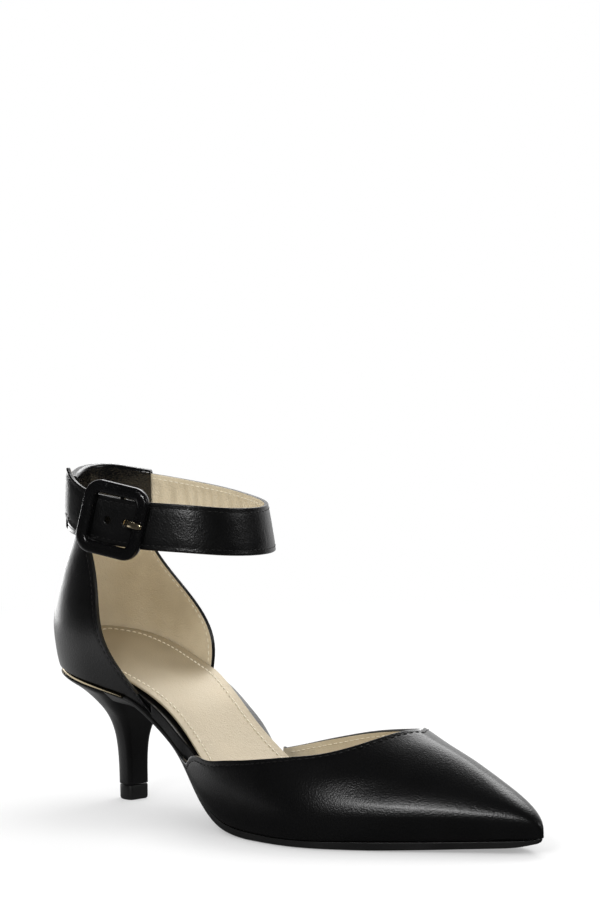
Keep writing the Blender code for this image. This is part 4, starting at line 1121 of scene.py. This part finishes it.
def buckle(look):
    middle, toe, up, out = buckleFrame(look)
    sides = look["sides"]
    turns = [2.0 * math.pi * k / sides for k in range(sides)]
    section = [(power(math.cos(turn), look["roundAcross"]), power(math.sin(turn), look["roundDeep"]))
               for turn in turns]
    spots = roundedSides(look["width"] / 2.0, look["height"] / 2.0, look["corner"], 12, (0.2, 0.4, 0.6, 0.8))
    points = []
    for centre, way in spots:
        for across, deep in section:
            flat = centre + way * (look["corner"] + (across - 1.0) * look["rimWide"] / 2.0)
            points.append(tuple(middle + toe * flat[0] + up * flat[1] + out * deep * look["thick"] / 2.0))
    makePiece("buckleCover", points, ringFaces(len(spots), sides, closed=True), ["glossyCalf"], slot="buckle")
    # the bar behind it, bent round the strap
    high = strapLook["width"] / 2.0 + fitGap + 0.15
    half, bar, face, deep = look["barThick"] / 2.0, look["barThick"], -look["thick"] * 0.2, look["barDeep"]
    outline = ((high + bar, face), (high + bar, deep + half), (-high - bar, deep + half), (-high - bar, face),
               (-high, face), (-high, deep - half), (high, deep - half), (high, face))
    loops = [[tuple(middle + toe * shift + up * h - out * d) for h, d in outline] for shift in (-half, half)]
    ringPiece("buckleBar", loops, ["blackCalf"], replaced=("buckle_frame",), slot="buckle",
              rim=look["barRim"])


def prong(look):
    middle, toe, up, out = buckleFrame(buckleLook)
    line = np.array(look["line"], float)
    run = runOf(line)
    dense = np.linspace(0.0, run[-1], 40)
    line = np.stack([smoothLine(run, line[:, k], dense) for k in range(2)], 1)
    ahead = np.gradient(line, axis=0)
    ahead /= np.linalg.norm(ahead, axis=1, keepdims=True)
    loops = []
    for (a, deep), step, spot in zip(line, ahead, dense):
        past = max(spot - run[-1] + look["point"], 0.0)
        narrow = math.sqrt(clamp(1.0 - (past / (look["point"] + 0.1)) ** 2))
        ring = []
        for k in range(look["sides"]):
            angle = 2.0 * math.pi * (k + 0.5) / look["sides"]
            wide = power(math.cos(angle), 0.8) * look["wide"] / 2.0 * max(narrow, 0.25)
            thick = power(math.sin(angle), 0.8) * look["thick"] / 2.0 * max(narrow, 0.4)
            ring.append(tuple(middle + toe * (a - step[1] * thick) + up * wide
                              - out * (deep + step[0] * thick)))
        loops.append(ring)
    ringPiece("bucklePin", loops, ["goldMetal"], replaced=("buckle_prong",), slot="metal")


buckle(buckleLook)
prong(prongLook)
print("buckle and prong")

# stitching
seamLook = {
    "topIn": 2.1, "frontIn": 2.1,  # how far in from each edge, mm
    "sockThick": 0.55, "strapIn": 1.9, "strapPitch": 2.4, "strapLength": 1.8, "strapThick": 0.42,
}


def withNormals(grid, normals):
    return np.concatenate([np.asarray(grid, float), np.asarray(normals, float)], 2)


def stitchAll(look):
    # sock: a line about 4 mm in from its edge, all the way round
    upper = withNormals(sockGrid, gridNormals(sockGrid, np.array([120.0, 0.0, -200.0])))
    wanted = sockLook["stitchIn"]
    rows = [k for k in range(len(upper)) if sockLook["back"] + 5.5 < upper[k, 0, 0] < sockLook["front"] - 9.0]
    sideOut = inFrom([upper[k] for k in rows], wanted)
    sideIn = inFrom([upper[k][::-1] for k in rows], wanted)
    sockLine = np.concatenate([sideOut[::-1], inFrom([upper[:, upper.shape[1] // 2]], wanted), sideIn])
    stitchRun("sockStitches", sockLine, "creamThread", "lining",
              thick=look["sockThick"])
    # upper: below the top line outside, and the same row inside
    vampOut, vampIn = withNormals(vampOuter, vampNormals), withNormals(vampInner, -vampNormals)
    stitchRun("vampStitches", inFrom(vampOut[:, ::-1], look["topIn"])[4:-4], "blackThread", "leather")
    stitchRun("vampLiningStitches", inFrom(vampIn[:, ::-1], look["topIn"])[4:-4], "creamThread", "lining")
    # heel cup: along the top, and along both front edges
    cupOut, cupIn = withNormals(cupOuter, cupNormals), withNormals(cupInner, -cupNormals)
    for name, grid, thread, slot in (("cup", cupOut, "blackThread", "leather"),
                                     ("cupLining", cupIn, "creamThread", "lining")):
        stitchRun(name + "TopStitches", inFrom(grid[:, ::-1], look["topIn"])[4:-4], thread, slot)
        columns = np.transpose(grid, (1, 0, 2))
        for side, lines in (("Out", columns), ("In", columns[:, ::-1])):
            stitchRun(name + "Front" + side + "Stitches", inFrom(lines, look["frontIn"])[2:-5], thread, slot)
    # strap: both edges, outside and on the lining
    rows = {"Top": look["strapIn"], "Low": strapLook["width"] - look["strapIn"]}
    for face, sign, thread, slot in (("", 1.0, "blackThread", "leather"),
                                     ("Lining", -1.0, "creamThread", "lining")):
        for edge, depth in rows.items():
            line = []
            for at in np.arange(3.0, strapRun[-1] - 2.0, 1.0):
                place, down, out = strapFrame(at)
                spot = place + down * depth + sign * out * (strapLook["thick"] / 2.0 - 0.12)
                line.append(np.concatenate([spot, sign * out]))
            stitchRun("strap" + face + edge + "Stitches", line, thread, slot, look["strapPitch"],
                      look["strapLength"], look["strapThick"])


stitchAll(seamLook)
print("stitching")

# floor, lights and background
studioLook = {
    # light on matt faces, what gloss mirrors above and in front, and the white that the camera sees
    "ambient": 0.86, "reflected": 0.012, "backdrop": 1.0,
    # the white backdrop that grazing faces mirror: which way it lies, how bright, and where it fades in
    "behind": (-0.66, 0.74, 0.08), "behindGlow": 0.9, "behindFrom": 0.5, "behindTo": 0.98,
    # the floor fades into the backdrop between these distances
    "floorSize": 6.0, "floorColour": (0.94, 0.94, 0.94, 1.0),
    "floorNear": 0.25, "floorFar": 0.9, "nearShare": 0.35,
    # what the shoe mirrors of the floor: dark in front, bright behind the heel
    "mirrorTowards": (-1.0, 0.35, 0.0),
    "mirrorDark": 0.03, "mirrorBright": 0.65, "mirrorFrom": 0.0, "mirrorTo": 0.36,
    # place, aim, size and watts of each soft light
    "lights": {
        "backLeft": ((-0.5, 0.85, 1.05), (0.05, 0.0, 0.0), (0.9, 0.7), 7.5),
        "toeSide": ((1.2, 1.0, 0.85), (0.05, 0.0, 0.03), (0.5, 0.5), 2.0),
        "frontStrip": ((0.48, -0.88, 0.62), (0.09, 0.0, 0.02), (0.24, 0.1), 2.4),
        "heelCard": ((-1.2, 0.5, 0.1), (-0.05, 0.0, 0.05), (1.3, 0.2), 3.2),
    },
}


def floorMaterial(look):
    made = bpy.data.materials.new("paleFloor")
    made.use_nodes = True
    tree = made.node_tree
    tree.nodes.clear()
    place = addNode(tree, "TexCoord").outputs["Object"]
    matte = addNode(tree, "BsdfDiffuse", {"Color": look["floorColour"]})
    glow = addNode(tree, "Emission", {"Color": (1.0, 1.0, 1.0, 1.0), "Strength": look["backdrop"]})
    length = addNode(tree, "VectorMath", {0: place}, operation="LENGTH").outputs["Value"]
    fade = fadeNode(tree, length, look["floorNear"], look["floorFar"], look["nearShare"], 1.0)
    seen = addNode(tree, "MixShader", {0: fade, 1: matte.outputs[0], 2: glow.outputs[0]})
    # the shoe mirrors a darker floor than the camera sees
    side = addNode(tree, "VectorMath", {0: place, 1: look["mirrorTowards"]}, operation="DOT_PRODUCT")
    mirror = fadeNode(tree, side.outputs["Value"], look["mirrorFrom"], look["mirrorTo"],
                      look["mirrorDark"], look["mirrorBright"])
    dim = addNode(tree, "Emission", {"Strength": mirror})
    choose = addNode(tree, "MixShader", {0: addNode(tree, "LightPath").outputs["Is Glossy Ray"],
                                         1: seen.outputs[0], 2: dim.outputs[0]})
    addNode(tree, "OutputMaterial", {"Surface": choose.outputs[0]})
    return made


def worldLight(look):
    world = bpy.data.worlds.new("studio")
    bpy.context.scene.world = world
    world.use_nodes = True
    tree = world.node_tree
    rays = addNode(tree, "LightPath").outputs
    towards = addNode(tree, "VectorMath", {0: addNode(tree, "TexCoord").outputs["Generated"],
                                           1: Vector(look["behind"]).normalized()}, operation="DOT_PRODUCT")
    glow = fadeNode(tree, towards.outputs["Value"], look["behindFrom"], look["behindTo"],
                    look["reflected"], look["behindGlow"])
    glossy = addNode(tree, "MapRange", {"Value": rays["Is Glossy Ray"], "To Min": look["ambient"],
                                        "To Max": glow})
    strength = addNode(tree, "MapRange", {"Value": rays["Is Camera Ray"], "To Min": glossy.outputs[0],
                                          "To Max": look["backdrop"]})
    setInputs(tree, tree.nodes["Background"], {"Color": (1.0, 1.0, 1.0, 1.0),
                                               "Strength": strength.outputs[0]})


def studio(look):
    mesh = bpy.data.meshes.new("floor")
    size = look["floorSize"]
    mesh.from_pydata([(-size, -size, 0.0), (size, -size, 0.0), (size, size, 0.0), (-size, size, 0.0)], [],
                     [(0, 1, 2, 3)])
    mesh.materials.append(floorMaterial(look))
    floor = bpy.data.objects.new("floor", mesh)
    bpy.context.scene.collection.objects.link(floor)
    for name, (place, aim, size, watts) in look["lights"].items():
        data = bpy.data.lights.new(name, "AREA")
        data.shape = "RECTANGLE"
        data.size, data.size_y = size
        data.energy = watts
        lamp = bpy.data.objects.new(name, data)
        lamp.location = place
        lamp.visible_camera = False
        lamp.rotation_mode = "QUATERNION"
        lamp.rotation_quaternion = (Vector(aim) - Vector(place)).to_track_quat("-Z", "Y")
        bpy.context.scene.collection.objects.link(lamp)
    worldLight(look)
    bpy.context.scene.view_settings.view_transform = "Standard"


studio(studioLook)
print("studio")
